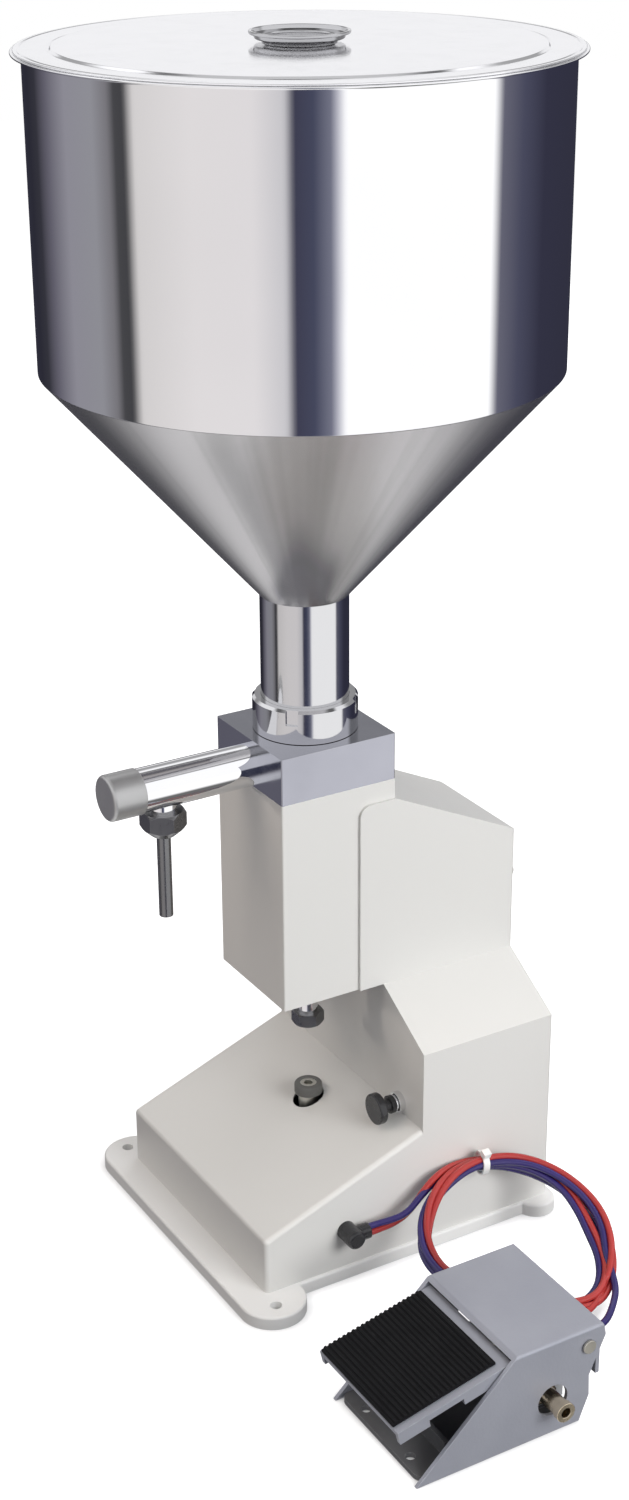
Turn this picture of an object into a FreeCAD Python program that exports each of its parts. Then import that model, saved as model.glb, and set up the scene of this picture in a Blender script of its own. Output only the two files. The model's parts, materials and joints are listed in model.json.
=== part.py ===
import FreeCAD
import Part
import math
import os

# Bench-top piston liquid filler with a foot valve. Millimetres, +Z up, nozzle towards -Y.
# The hopper, the product cylinder and the stroke stop share the axis x = 0, y = 0.

V = FreeCAD.Vector
X, Y, Z = V(1, 0, 0), V(0, 1, 0), V(0, 0, 1)

# ---- driving dimensions: base plate and sheet housing ----
plate_t = 8.0                 # base plate thickness
plate_half = 85.0             # half width of the plate between its ears
plate_lip = 18.0              # plate in front of the housing
plate_back = 4.0              # plate behind the housing
ear_r = 20.0                  # front ear radius
rear_ear_r = 12.0
ear_out = 4.0                 # ear centre outside the housing's side
ear_hole_r = 3.5
ear_hole_out = 12.0           # hole centre outside the housing's side
sheet = 1.8                   # housing sheet thickness
foot_half = 83.0              # half width of the wide foot
deck_front_z = 43.0           # top of the foot's front face
deck_back_z = 83.0            # deck height at the wall
front_y = -78.0               # front face of the foot
wall_y = 29.0                 # wall behind the recess
rear_y = 121.0                # back of the housing
flare_low_z = 134.0           # housing is wide up to here
flare_high_z = 160.0          # and narrow from here up
roof_front_z = 278.0
roof_back_z = 238.0
bend_r = 3.0                  # outer bend radius of the sheet
cheek_corner_r = 7.0          # top front corner of the cheeks
# ---- column and valve block ----
column_half = 37.0
column_front = -37.0
column_back = 37.0
column_top = 290.0
column_wall = 3.0
column_cap = 6.0              # top plate
column_floor = 4.0            # bottom plate
seam_y = 13.0                 # where the housing's cheeks start on the column
cheek_gap = 0.2               # column to housing cheek
block_h = 28.0
# ---- product cylinder ----
bore_r = 20.0
barrel_wall = 4.0
barrel_h = 68.0
barrel_flange_half = 31.0
barrel_flange_t = 8.0
piston_h = 16.0
piston_gap = 0.05
top_clear = 4.0               # piston crown below the block at the top of the stroke
stroke = 42.0
rod_r = 6.0
fit = 0.03                    # radial running clearance of shafts
rod_out = 35.5                # rod end below the column
rod_nut_af = 17.0
rod_nut_h = 8.0
stop_gap = 0.5                # rod end to bumper at full stroke
# ---- crosshead and air cylinder ----
arm_half = 10.0
arm_t = 12.0
arm_low = 1.0                 # arm above the column floor at full stroke
air_y = 80.0                  # air cylinder axis
air_bore_r = 20.0
air_tube_r = 22.5
air_cap_half = 26.0
air_cap_front_h = 18.0
air_cap_rear_h = 18.0
air_tube_h = 66.0
air_rod_r = 7.0
air_piston_h = 14.0
tie_r = 3.0
tie_pitch = 20.5              # tie rod centre from the axis, each way
shelf_t = 5.0
post_t = 8.0
post_half = 30.0
post_foot = 26.0
slot_half = 12.0
# ---- hopper ----
hopper_r = 140.0
hopper_sheet = 1.2
neck_r = 25.0
neck_top_z = 398.0
cone_top_z = 527.0
hopper_top_z = 690.0
flange_out = 5.5              # rim beyond the wall
lid_out = 4.0                 # lid beyond the wall
lid_sheet = 1.0
lid_step_in = 14.0            # raised middle inside the wall
lid_step = 0.8
lid_skirt = 9.0
knob_r = 26.0
knob_waist_r = 18.0
knob_lip = 1.6
knob_h = 5.8
knob_dish = 1.4
# ---- inlet valve and neck nut ----
boss_r = 28.0
boss_h = 10.0
gasket_t = 2.0
neck_nut_r = 30.0
neck_nut_h = 20.0
inlet_bore_r = 18.0
inlet_hole_r = 9.0
inlet_ball_r = 11.0
inlet_lift = 4.0
seat_h = 12.0
cage_t = 3.0
cage_r = 24.0
# ---- outlet ----
outlet_z = 302.0
tube_r = 12.5
tube_bore_r = 9.5
tube_end_y = -107.0
spigot_r = 11.0
spigot_l = 10.0
outlet_hole_r = 5.0
outlet_seat_y = -48.0
outlet_ball_r = 6.5
outlet_lift = 5.0
cap_r = 13.2
cap_l = 20.0
nozzle_y = -92.0
nozzle_r = 4.0
nozzle_bore_r = 3.0
nozzle_tip_z = 221.6
union_af = 23.0
union_h = 15.0
union_z = 272.4
union_boss_r = 8.0
nozzle_collar = 0.5           # step on the nozzle inside the union nut
# ---- stroke stop on the deck ----
stop_screw_r = 6.0
stop_head_r = 5.0
bumper_r = 8.5
bumper_h = 6.5
stop_post_r = 12.0
stop_post_top = 58.0
# ---- air valve on the wall ----
knob_x = 58.0
knob_z = 90.0
valve_knob_r = 9.5
valve_neck_r = 4.5
# ---- hose gland ----
gland_y = -24.0
gland_z = 33.0
gland_r = 5.8
gland_neck_r = 4.8
gland_nut_af = 14.0
gland_out = 14.0
hose_r = 2.0
hose_pitch = 4.4              # between the two hoses at the gland
# ---- foot valve ----
pedal_x = 215.0
pedal_half = 42.0
pedal_h = 59.0
cover_t = 2.5
pedal_front = -87.0
cover_front = -25.0
cover_rear = 31.0
tread_half = 39.0
pivot_y = 21.0
pivot_z = 48.0
pivot_r = 2.5
tread_t = 3.0
toe_y = -97.0
toe_z = 38.0
heel_z = 54.0
heel_gap = 1.2                # between the tread and the bridge of the cover
cover_back_low = 25.0         # lower edge of the cover's back wall, over the air fittings
pad_t = 2.5
rib_pitch = 4.2
valve_half = 26.0
valve_z = (5.0, 31.0)
valve_y = (-14.0, 18.0)
spool_r = 5.0
spool_y = -6.0
cheek_hole_r = 9.5
cheek_hole = (-1.0, 21.0)
base_t = 3.0
base_lip = 12.0
base_hole_r = 2.75
base_hole_pitch = 44.0
base_hole_y = -78.0
# ---- hose coil leaning on the housing ----
coil_r = 55.6
bundle_r = 6.0
coil_tilt = 25.0
coil_y = 56.3
coil_gap = 1.5
coil_flat = 35.0              # flat side of the coil, from its centre
coil_flat_at = -125.0         # direction of the flat side, degrees
coil_corner_r = 24.0

plate_top = plate_t
block_bottom = column_top
block_top = column_top + block_h
piston_top = block_bottom - top_clear
piston_bottom = piston_top - piston_h
column_low = flare_high_z
rod_end = column_low - rod_out
arm_bottom = column_low + column_floor + arm_low + stroke
arm_top = arm_bottom + arm_t
shelf_top = column_low + column_floor - 1.0
air_top = shelf_top - shelf_t
air_front_low = air_top - air_cap_front_h
air_rear_top = air_front_low - air_tube_h
air_low = air_rear_top - air_cap_rear_h
air_piston_top = air_front_low - 2.0
seat_z = block_top + gasket_t + 6.0
hopper_low = block_top + gasket_t
bumper_top = rod_end - stroke - stop_gap
lid_low = hopper_top_z
flange_r = hopper_r + flange_out
lid_r = hopper_r + lid_out
lid_step_r = hopper_r - lid_step_in
heel_y = cover_front - heel_gap
lid_top = lid_low + lid_sheet + lid_step
outlet_ball_y = outlet_seat_y - math.sqrt(outlet_ball_r ** 2 - outlet_hole_r ** 2)
inlet_ball_z = seat_z - math.sqrt(inlet_ball_r ** 2 - inlet_hole_r ** 2)


def box(x0, x1, y0, y1, z0, z1):
    return Part.makeBox(x1 - x0, y1 - y0, z1 - z0, V(x0, y0, z0))


def rod(r, x, y, z0, z1):
    return Part.makeCylinder(r, z1 - z0, V(x, y, z0), Z)


def rod_x(r, y, z, x0, x1):
    return Part.makeCylinder(r, x1 - x0, V(x0, y, z), X)


def rod_y(r, x, z, y0, y1):
    return Part.makeCylinder(r, y1 - y0, V(x, y0, z), Y)


def ring(r_out, r_in, x, y, z0, z1):
    return rod(r_out, x, y, z0, z1).cut(rod(r_in, x, y, z0 - 1, z1 + 1))


def ring_y(r_out, r_in, x, z, y0, y1):
    return rod_y(r_out, x, z, y0, y1).cut(rod_y(r_in, x, z, y0 - 1, y1 + 1))


def prism(points, direction):
    """Extrude a closed outline of vectors."""
    wire = Part.makePolygon(points + [points[0]])
    return Part.Face(wire).extrude(direction)


def turned(outline, x=0.0, y=0.0):
    """Revolve an (r, z) outline about a vertical axis."""
    wire = Part.makePolygon([V(r, 0, z) for r, z in outline + outline[:1]])
    solid = Part.Face(wire).revolve(V(0, 0, 0), Z, 360)
    solid.translate(V(x, y, 0))
    return solid


def hexagon(across_flats, x, y, z0, z1):
    r = across_flats / math.sqrt(3)
    corners = [V(x + r * math.cos(math.radians(60 * i)), y + r * math.sin(math.radians(60 * i)), z0)
               for i in range(6)]
    return prism(corners, V(0, 0, z1 - z0))


def offset_chain(points, t):
    """Mitre an open (r, z) chain to its left by t, so that a sheet keeps one thickness."""
    out = []
    for i, (r, z) in enumerate(points):
        sides = []
        for a, b in ((i - 1, i), (i, i + 1)):
            if 0 <= a and b < len(points):
                dr, dz = points[b][0] - points[a][0], points[b][1] - points[a][1]
                length = math.hypot(dr, dz)
                sides.append((-dz / length, dr / length))
        nr = sum(s[0] for s in sides)
        nz = sum(s[1] for s in sides)
        k = t / (nr * sides[0][0] + nz * sides[0][1])
        out.append((r + nr * k, z + nz * k))
    return out


def route_wire(points, name):
    """Straight runs joined by tangent arcs, each as large as its two runs allow."""
    points = [V(*p) for p in points]
    edges = []
    at = points[0]
    radii = []
    for before, corner, after in zip(points, points[1:], points[2:]):
        u = (before - corner).normalize()
        w = (after - corner).normalize()
        half_turn = (math.pi - u.getAngle(w)) / 2
        reach = 0.45 * min((before - corner).Length, (after - corner).Length)
        r = reach / math.tan(half_turn)
        radii.append(r)
        start, end = corner + u * reach, corner + w * reach
        inward = (u + w).normalize()
        middle = corner + inward * (r / math.cos(half_turn) - r)
        edges.append(Part.LineSegment(at, start).toShape())
        edges.append(Part.Arc(start, middle, end).toShape())
        at = end
    edges.append(Part.LineSegment(at, points[-1]).toShape())
    print(name, "bend radii", [round(r, 1) for r in radii])
    return Part.Wire(edges)


def tube_along(wire, r, name):
    first = wire.Edges[0]
    start = first.valueAt(first.FirstParameter)
    along = first.tangentAt(first.FirstParameter)
    section = Part.Wire(Part.Circle(start, along, r).toShape())
    solid = wire.makePipeShell([section], True, False)
    expected = math.pi * r * r * wire.Length
    print(name, "length", round(wire.Length, 1), "volume ratio", round(solid.Volume / expected, 4))
    return solid


def spring(wire_r, coil_radius, length, turns, start, axis):
    """Helical spring as one wire."""
    pitch = (length - 2 * wire_r) / turns
    helix = Part.makeHelix(pitch, length - 2 * wire_r, coil_radius)
    section = Part.Wire(Part.Circle(V(coil_radius, 0, 0), Y, wire_r).toShape())
    solid = Part.Wire(helix.Edges).makePipeShell([section], True, True)
    solid.translate(V(0, 0, wire_r))
    turn = FreeCAD.Rotation(Z, axis)
    solid.Placement = FreeCAD.Placement(start, turn).multiply(solid.Placement)
    return solid


# ---- housing, plate and frame ----

def bell(inset, y0, y1):
    """Cross-section of the rear housing: wide foot, flare and narrow top."""
    low, high = foot_half, column_half + cheek_gap + sheet
    corner = math.atan2(flare_high_z - flare_low_z, low - high)
    shift = inset * math.tan((math.pi / 2 - corner) / 2)
    half = [(low - inset, 0.0), (low - inset, flare_low_z - shift),
            (high - inset, flare_high_z - shift), (high - inset, roof_front_z + 10)]
    outline = [V(x, y0, z) for x, z in half] + [V(-x, y0, z) for x, z in reversed(half)]
    return prism(outline, V(0, y1 - y0, 0))


def roof_cut(drop):
    """Everything above the sloping roof, lowered by the sheet."""
    slope = (roof_front_z - roof_back_z) / (rear_y - column_back)
    fall = drop * math.sqrt(1 + slope * slope)
    y_end = rear_y + 10
    profile = [V(-200, column_back, roof_front_z - fall),
               V(-200, y_end, roof_front_z - fall - slope * (y_end - column_back)),
               V(-200, y_end, 500), V(-200, column_back - 60, 500),
               V(-200, column_back - 60, roof_front_z - fall)]
    return prism(profile, V(400, 0, 0))


def foot(inset):
    """Front foot under the sloping deck."""
    slope = (deck_back_z - deck_front_z) / (wall_y - front_y)
    drop = inset * math.sqrt(1 + slope * slope)
    y0, y1 = front_y + inset, wall_y + sheet
    profile = [V(-foot_half + inset, y0, 0), V(-foot_half + inset, y1, 0),
               V(-foot_half + inset, y1, deck_back_z - drop + slope * (y1 - wall_y)),
               V(-foot_half + inset, y0, deck_front_z - drop + slope * inset)]
    return prism(profile, V(2 * (foot_half - inset), 0, 0))


def rounded(solid, r, chosen):
    edges = [e for e in solid.Edges if chosen(e)]
    return solid.makeFillet(r, edges) if edges else solid


def housing_outer():
    rear = bell(0.0, seam_y, rear_y).cut(roof_cut(0.0))
    recess = box(-200, 200, 0, wall_y, -1, flare_high_z)
    rear = rear.cut(recess)
    body = rear.fuse(foot(0.0).cut(box(-200, 200, wall_y, 200, -1, 300))).removeSplitter()
    body = body.cut(box(-200, 200, -200, 300, -1, plate_top))
    body = rounded(body, cheek_corner_r, lambda e: e.BoundBox.YMax < seam_y + 0.01
                   and e.BoundBox.ZMin > roof_front_z - 0.01)

    def bends(edge):
        a, b = edge.Vertexes[0].Point, edge.Vertexes[-1].Point
        box_e = edge.BoundBox
        upright_back = abs(a.y - rear_y) < 0.01 and abs(b.y - rear_y) < 0.01 and edge.Length > 20
        upright_front = abs(a.y - front_y) < 0.01 and abs(b.y - front_y) < 0.01
        at_plate = box_e.ZMax < plate_top + 0.01
        deck_side = (abs(abs(a.x) - foot_half) < 0.01 and abs(a.x - b.x) < 0.01
                     and a.y < wall_y + 0.01 and b.y < wall_y + 0.01 and abs(a.z - b.z) > 1
                     and abs(a.y - b.y) > 50)
        return (upright_back or upright_front or deck_side) and not at_plate

    return rounded(body, bend_r, bends)


def housing():
    body = housing_outer()
    inner = bell(sheet, wall_y + sheet, rear_y - sheet).cut(roof_cut(sheet))
    tunnel = box(-column_half - cheek_gap, column_half + cheek_gap, seam_y - 1, column_back + cheek_gap,
                 column_low, roof_front_z + 20)
    under = foot(sheet)
    door = box(-door_half, door_half, rear_y - sheet - 1, rear_y + 1, door_low, door_high)
    body = body.cut(inner).cut(tunnel).cut(under).cut(door)
    body = body.cut(rod(bumper_r + 1.0, 0, 0, deck_front_z, deck_back_z))
    body = body.cut(rod_y(valve_neck_r + 0.5, knob_x, knob_z, wall_y - 1, wall_y + sheet + 1))
    body = body.cut(rod_x(gland_neck_r, gland_y, gland_z, foot_half - sheet - 1, foot_half + 1))
    for x, z in door_screws:
        body = body.cut(rod_y(door_screw_r, x, z, rear_y - sheet - 1, rear_y + 1))
    return body


door_half = 27.0
door_low = 26.0
door_high = 215.0
door_lap = 6.0
door_t = 1.6
door_screw_r = 2.0
door_screws = [(s * (door_half + door_lap / 2), z)
               for s in (-1, 1) for z in (door_low + 8, (door_low + door_high) / 2, door_high - 8)]


def rear_panel():
    panel = box(-door_half - door_lap, door_half + door_lap, rear_y, rear_y + door_t,
                door_low - door_lap, door_high + door_lap)
    panel = rounded(panel, 4.0, lambda e: abs(e.tangentAt(e.FirstParameter).y) > 0.99)
    for x, z in door_screws:
        panel = panel.cut(rod_y(door_screw_r, x, z, rear_y - 1, rear_y + door_t + 1))
    return panel


def rear_panel_screws():
    screws = []
    for x, z in door_screws:
        shank = rod_y(door_screw_r, x, z, rear_y - 6, rear_y + door_t)
        head = rod_y(3.6, x, z, rear_y + door_t, rear_y + door_t + 2.2)
        head = rounded(head, 1.2, lambda e: e.BoundBox.YMin > rear_y + door_t + 2.1)
        slot = box(x - 3.7, x + 3.7, rear_y + door_t + 1.2, rear_y + door_t + 3, z - 0.4, z + 0.4)
        cross = box(x - 0.4, x + 0.4, rear_y + door_t + 1.2, rear_y + door_t + 3, z - 3.7, z + 3.7)
        screws.append(shank.fuse(head).cut(slot.common(rod_y(2.2, x, z, rear_y, rear_y + 9)))
                      .cut(cross.common(rod_y(2.2, x, z, rear_y, rear_y + 9))))
    return Part.makeCompound(screws)


def base_plate():
    y0, y1 = front_y - plate_lip, rear_y + plate_back
    ear_x = foot_half + ear_out
    plate = box(-plate_half, plate_half, y0 + 6, y1 - 2, 0, plate_t)
    plate = plate.fuse(box(-ear_x, ear_x, y0, y0 + 2 * ear_r, 0, plate_t))
    for s in (-1, 1):
        plate = plate.fuse(rod(ear_r, s * ear_x, y0 + ear_r, 0, plate_t))
        plate = plate.fuse(rod(rear_ear_r, s * (foot_half - 1.5), y1 - rear_ear_r, 0, plate_t))
    plate = plate.fuse(box(-foot_half + 1.5, foot_half - 1.5, y1 - 5, y1, 0, plate_t))
    plate = plate.removeSplitter()
    top = [e for e in plate.Edges if e.BoundBox.ZMin > plate_t - 0.01]
    plate = plate.makeFillet(1.5, top)
    for s in (-1, 1):
        plate = plate.cut(rod(ear_hole_r, s * (foot_half + ear_hole_out), front_y, -1, plate_t + 1))
    for x, y in foot_bolts:
        plate = plate.cut(rod(bolt_r, x, y, -1, plate_t + 1))
    return plate


bolt_r = 3.0
bolt_head_r = 5.0
bolt_head_h = 6.0
foot_bolts = [(s * 20.0, column_back + post_t + 16.0) for s in (-1, 1)]
post_bolts = [(s * 24.0, z) for s in (-1, 1) for z in (column_low + 25.0, column_top - 33.0)]


def frame_post():
    """Welded post: upright behind the column, foot on the plate, shelf for the air cylinder."""
    y0, y1 = column_back, column_back + post_t
    post = box(-post_half, post_half, y0, y1, plate_top, roof_front_z - 8)
    post = post.fuse(box(-post_half, post_half, y1, y1 + post_foot, plate_top, plate_top + post_t))
    post = post.fuse(box(-post_half, post_half, y1, air_y + air_cap_half + 4, shelf_top - shelf_t, shelf_top))
    post = post.cut(box(-slot_half, slot_half, y0 - 1, y1 + 1, shelf_top, arm_top + 6))
    post = post.cut(rod(air_rod_r + 1, 0, air_y, shelf_top - shelf_t - 1, shelf_top + 1))
    for sx in (-1, 1):
        for sy in (-1, 1):
            post = post.cut(rod(tie_r + 0.2, sx * tie_pitch, air_y + sy * tie_pitch, shelf_top - 9, shelf_top + 9))
    for x, y in foot_bolts:
        post = post.cut(rod(bolt_r, x, y, 0, 40))
    for x, z in post_bolts:
        post = post.cut(rod_y(bolt_r, x, z, y0 - 1, y1 + 1))
    return post.removeSplitter()


def frame_bolts():
    bolts = []
    for x, y in foot_bolts:
        top = plate_top + post_t
        bolts.append(rod(bolt_r, x, y, 1, top).fuse(rod(bolt_head_r, x, y, top, top + bolt_head_h)))
    back = column_back + post_t
    for x, z in post_bolts:
        shank = rod_y(bolt_r, x, z, column_back - column_wall, back)
        bolts.append(shank.fuse(rod_y(bolt_head_r, x, z, back, back + bolt_head_h)))
    return Part.makeCompound(bolts)


def column_shell():
    shell = box(-column_half, column_half, column_front, column_back, column_low, column_top)
    shell = rounded(shell, 1.0, lambda e: abs(e.tangentAt(e.FirstParameter).z) > 0.99
                    and e.BoundBox.YMax < 0)
    w = column_wall
    shell = shell.cut(box(-column_half + w, column_half - w, column_front + w, column_back - w,
                          column_low + column_floor, column_top - column_cap))
    shell = shell.cut(rod(bore_r + barrel_wall + 0.1, 0, 0, column_top - column_cap - 1, column_top + 1))
    shell = shell.cut(rod(bush_r, 0, 0, column_low - 1, column_low + column_floor + 1))
    shell = shell.cut(box(-slot_half, slot_half, column_back - w - 1, column_back + 1,
                          column_low + column_floor, arm_top + 6))
    for x, y in block_bolts:
        shell = shell.cut(rod(bolt_r, x, y, column_top - column_cap - 1, column_top + 1))
    for x, z in post_bolts:
        shell = shell.cut(rod_y(bolt_r, x, z, column_back - w - 1, column_back + 1))
    return shell


# ---- valve block, product cylinder and its drive ----

block_bolt_at = 25.5
block_bolts = [(sx * block_bolt_at, sy * block_bolt_at) for sx in (-1, 1) for sy in (-1, 1)]
bush_r = 9.0
bush_flange_r = 12.0
bush_h = 6.5


def valve_block():
    block = box(-column_half, column_half, column_front, column_back, block_bottom, block_top)
    block = rounded(block, 0.8, lambda e: abs(e.tangentAt(e.FirstParameter).z) > 0.99)
    boss = rod(boss_r, 0, 0, block_top, block_top + boss_h)
    block = block.fuse(boss).removeSplitter()
    block = block.cut(rod(neck_r + 0.1, 0, 0, block_top, block_top + boss_h + 1))
    block = block.cut(rod(inlet_bore_r, 0, 0, block_bottom - 1, block_top + 1))
    block = block.cut(rod(cage_r + 0.1, 0, 0, block_bottom - 1, block_bottom + cage_t))
    block = block.cut(rod_y(spigot_r, 0, outlet_z, column_front - 1, column_front + spigot_l))
    block = block.cut(rod_y(8.0, 0, outlet_z, column_front, -inlet_bore_r + 4))
    for x, y in block_bolts:
        block = block.cut(rod(bolt_r, x, y, block_bottom - 1, block_bottom + 12))
    return block


def block_screws():
    screws = []
    low = column_top - column_cap - barrel_flange_t
    for x, y in block_bolts:
        shank = rod(bolt_r, x, y, low, block_bottom + 11)
        screws.append(shank.fuse(rod(bolt_head_r, x, y, low - bolt_head_h, low)))
    return Part.makeCompound(screws)


def barrel():
    top = column_top - column_cap
    r = bore_r + barrel_wall
    body = rod(r, 0, 0, block_bottom - barrel_h, block_bottom)
    flange = box(-barrel_flange_half, barrel_flange_half, -barrel_flange_half, barrel_flange_half,
                 top - barrel_flange_t, top)
    body = body.fuse(rounded(flange, 4.0, lambda e: abs(e.tangentAt(e.FirstParameter).z) > 0.99))
    body = body.removeSplitter().cut(rod(bore_r, 0, 0, block_bottom - barrel_h - 1, block_bottom + 1))
    for x, y in block_bolts:
        body = body.cut(rod(bolt_r, x, y, 200, top + 1))
    return body


def rod_bushes():
    """Guide in the barrel's mouth and guide in the column floor."""
    guide_z = block_bottom - barrel_h
    guide = ring(bore_r, rod_r + fit, 0, 0, guide_z, guide_z + 5.0)
    floor_z = column_low + column_floor
    bush = ring(bush_r, rod_r + fit, 0, 0, floor_z - bush_h, floor_z)
    bush = bush.fuse(ring(bush_flange_r, rod_r + fit, 0, 0, floor_z - bush_h, column_low)).removeSplitter()
    return Part.makeCompound([guide, bush])


groove_w = 3.0
groove_d = 2.2
groove_from_end = 3.0


def groove_levels():
    return [piston_bottom + groove_from_end, piston_top - groove_from_end - groove_w]


def piston():
    body = rod(bore_r - piston_gap, 0, 0, piston_bottom, piston_top)
    body = rounded(body, 0.6, lambda e: len(e.Vertexes) == 1)
    for z in groove_levels():
        body = body.cut(ring(bore_r + 1, bore_r - groove_d, 0, 0, z, z + groove_w))
    return body.cut(rod(rod_r, 0, 0, piston_bottom - 1, piston_top - 5))


def piston_seals():
    return Part.makeCompound([ring(bore_r - 0.02, bore_r - groove_d, 0, 0, z, z + groove_w)
                              for z in groove_levels()])


def piston_rod():
    body = rod(rod_r, 0, 0, rod_end, piston_top - 5)
    return rounded(body, 0.8, lambda e: e.BoundBox.ZMax < rod_end + 0.01)


def rod_end_nut():
    nut = hexagon(rod_nut_af, 0, 0, rod_end, rod_end + rod_nut_h)
    chamfer = turned([(0, rod_end), (rod_nut_af / 2, rod_end), (rod_nut_af / 2 + 3, rod_end + 2),
                      (rod_nut_af / 2 + 3, rod_end + rod_nut_h - 2), (rod_nut_af / 2, rod_end + rod_nut_h),
                      (0, rod_end + rod_nut_h)])
    return nut.common(chamfer).cut(rod(rod_r, 0, 0, rod_end - 1, rod_end + rod_nut_h + 1))


def crosshead_arm():
    arm = box(-arm_half, arm_half, 0, air_y, arm_bottom, arm_top)
    arm = arm.fuse(rod(arm_half + 2, 0, 0, arm_bottom, arm_top))
    arm = arm.fuse(rod(arm_half + 4, 0, air_y, arm_bottom, arm_top))
    arm = arm.cut(box(-30, 30, column_back - column_wall - 2, column_back + post_t + 2, 0, 400)
                  .cut(box(-arm_half, arm_half, 0, air_y, 0, 400)))
    arm = arm.cut(rod(rod_r, 0, 0, arm_bottom - 1, arm_top + 1))
    return arm.cut(rod(air_rod_r - 2, 0, air_y, arm_bottom - 1, arm_top + 1)).removeSplitter()


def tie_places():
    return [(sx * tie_pitch, air_y + sy * tie_pitch) for sx in (-1, 1) for sy in (-1, 1)]


def air_cap(z0, z1):
    cap = box(-air_cap_half, air_cap_half, air_y - air_cap_half, air_y + air_cap_half, z0, z1)
    cap = rounded(cap, 2.0, lambda e: abs(e.tangentAt(e.FirstParameter).z) > 0.99)
    for x, y in tie_places():
        cap = cap.cut(rod(tie_r, x, y, z0 - 1, z1 + 1))
    port_z = (z0 + z1) / 2
    return cap.cut(rod_x(port_r, air_y, port_z, air_cap_half - port_l, air_cap_half + 1))


port_r = 4.0
port_l = 8.0


def cylinder_front_cap():
    cap = air_cap(air_front_low, air_top)
    return cap.cut(rod(air_rod_r + fit, 0, air_y, air_front_low - 1, air_top + 1))


def cylinder_rear_cap():
    return air_cap(air_low, air_rear_top)


def cylinder_tube():
    return ring(air_tube_r, air_bore_r, 0, air_y, air_rear_top, air_front_low)


def cylinder_tie_rods():
    """Four studs from the rear cap up through the shelf, with their nuts."""
    studs = []
    for x, y in tie_places():
        stud = rod(tie_r, x, y, air_low - 2, shelf_top + 6)
        stud = stud.fuse(hexagon(10.0, x, y, air_low - 5, air_low))
        studs.append(stud.fuse(hexagon(10.0, x, y, shelf_top, shelf_top + 5)).removeSplitter())
    return Part.makeCompound(studs)


def air_piston():
    body = rod(air_bore_r - piston_gap, 0, air_y, air_piston_top - air_piston_h, air_piston_top)
    return body.cut(rod(air_rod_r - 2, 0, air_y, 0, 400))


def air_piston_rod():
    """Rod with its ends turned down to pass the piston and the arm, and a nut on the arm."""
    body = rod(air_rod_r, 0, air_y, air_piston_top, arm_bottom)
    body = body.fuse(rod(air_rod_r - 2, 0, air_y, air_piston_top - air_piston_h - 3, arm_top + 8))
    return body.fuse(hexagon(16.0, 0, air_y, arm_top, arm_top + 6)).removeSplitter()


# ---- hopper, lid and inlet valve ----

def hopper_band(z0, z1):
    """The part of the hopper's sheet between two of its welds."""
    outer = [(neck_r, hopper_low), (neck_r, neck_top_z), (hopper_r, cone_top_z), (hopper_r, hopper_top_z)]
    inner = offset_chain(outer, hopper_sheet)
    return turned(outer + inner[::-1]).common(rod(flange_r + 10, 0, 0, z0, z1))


def hopper_wall():
    flange = ring(flange_r, hopper_r - hopper_sheet, 0, 0, hopper_top_z - hopper_sheet, hopper_top_z)
    flange = rounded(flange, 0.4, lambda e: e.Length > 6.2 * flange_r)
    return hopper_band(cone_top_z, hopper_top_z).fuse(flange).removeSplitter()


def hopper_cone():
    return hopper_band(neck_top_z, cone_top_z)


def hopper_neck():
    stop_z = block_top + boss_h
    stop = ring(boss_r - 0.4, neck_r - 0.5, 0, 0, stop_z + 0.2, stop_z + 1.8)
    return hopper_band(hopper_low, neck_top_z).fuse(stop).removeSplitter()


def neck_nut():
    z0 = block_top + 0.3
    z1 = block_top + neck_nut_h
    lip = block_top + boss_h + 2.0
    nut = turned([(boss_r + 0.05, z0), (neck_nut_r, z0), (neck_nut_r, z1 - 1.5), (neck_nut_r - 1.5, z1),
                  (neck_r + 0.1, z1), (neck_r + 0.1, lip), (boss_r + 0.05, lip)])
    for i in range(4):
        notch = box(neck_nut_r - 1.6, neck_nut_r + 1, -3.5, 3.5, z1 - 9, z1 + 1)
        notch.rotate(V(0, 0, 0), Z, 45 + 90 * i)
        nut = nut.cut(notch)
    return nut


def neck_gasket():
    return ring(neck_r, inlet_bore_r + 1, 0, 0, block_top, block_top + gasket_t)


def inlet_seat():
    z0 = block_top + gasket_t
    body = rod(neck_r - hopper_sheet - 0.2, 0, 0, z0, z0 + seat_h)
    body = body.cut(rod(inlet_ball_r + 3, 0, 0, z0 - 1, seat_z))
    return body.cut(Part.makeCone(inlet_hole_r, inlet_hole_r + 6, seat_h - 5, V(0, 0, seat_z), Z))


def inlet_ball():
    return Part.makeSphere(inlet_ball_r, V(0, 0, inlet_ball_z))


def inlet_cage():
    """Rim held between barrel and block, with a cross that carries the spring."""
    z0, z1 = block_bottom, block_bottom + cage_t
    cage = ring(cage_r, inlet_bore_r - 2, 0, 0, z0, z1)
    for a in (0, 90):
        bar = box(-inlet_bore_r + 1, inlet_bore_r - 1, -2, 2, z0, z1)
        bar.rotate(V(0, 0, 0), Z, a)
        cage = cage.fuse(bar)
    return cage.fuse(rod(7, 0, 0, z0, z1)).fuse(rod(3, 0, 0, z1, z1 + 3)).removeSplitter()


def inlet_spring():
    low = block_bottom + cage_t
    high = inlet_ball_z - math.sqrt(inlet_ball_r ** 2 - 25) - 0.2
    return spring(0.6, 5.0, high - low, 5, V(0, 0, low), Z)


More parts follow.
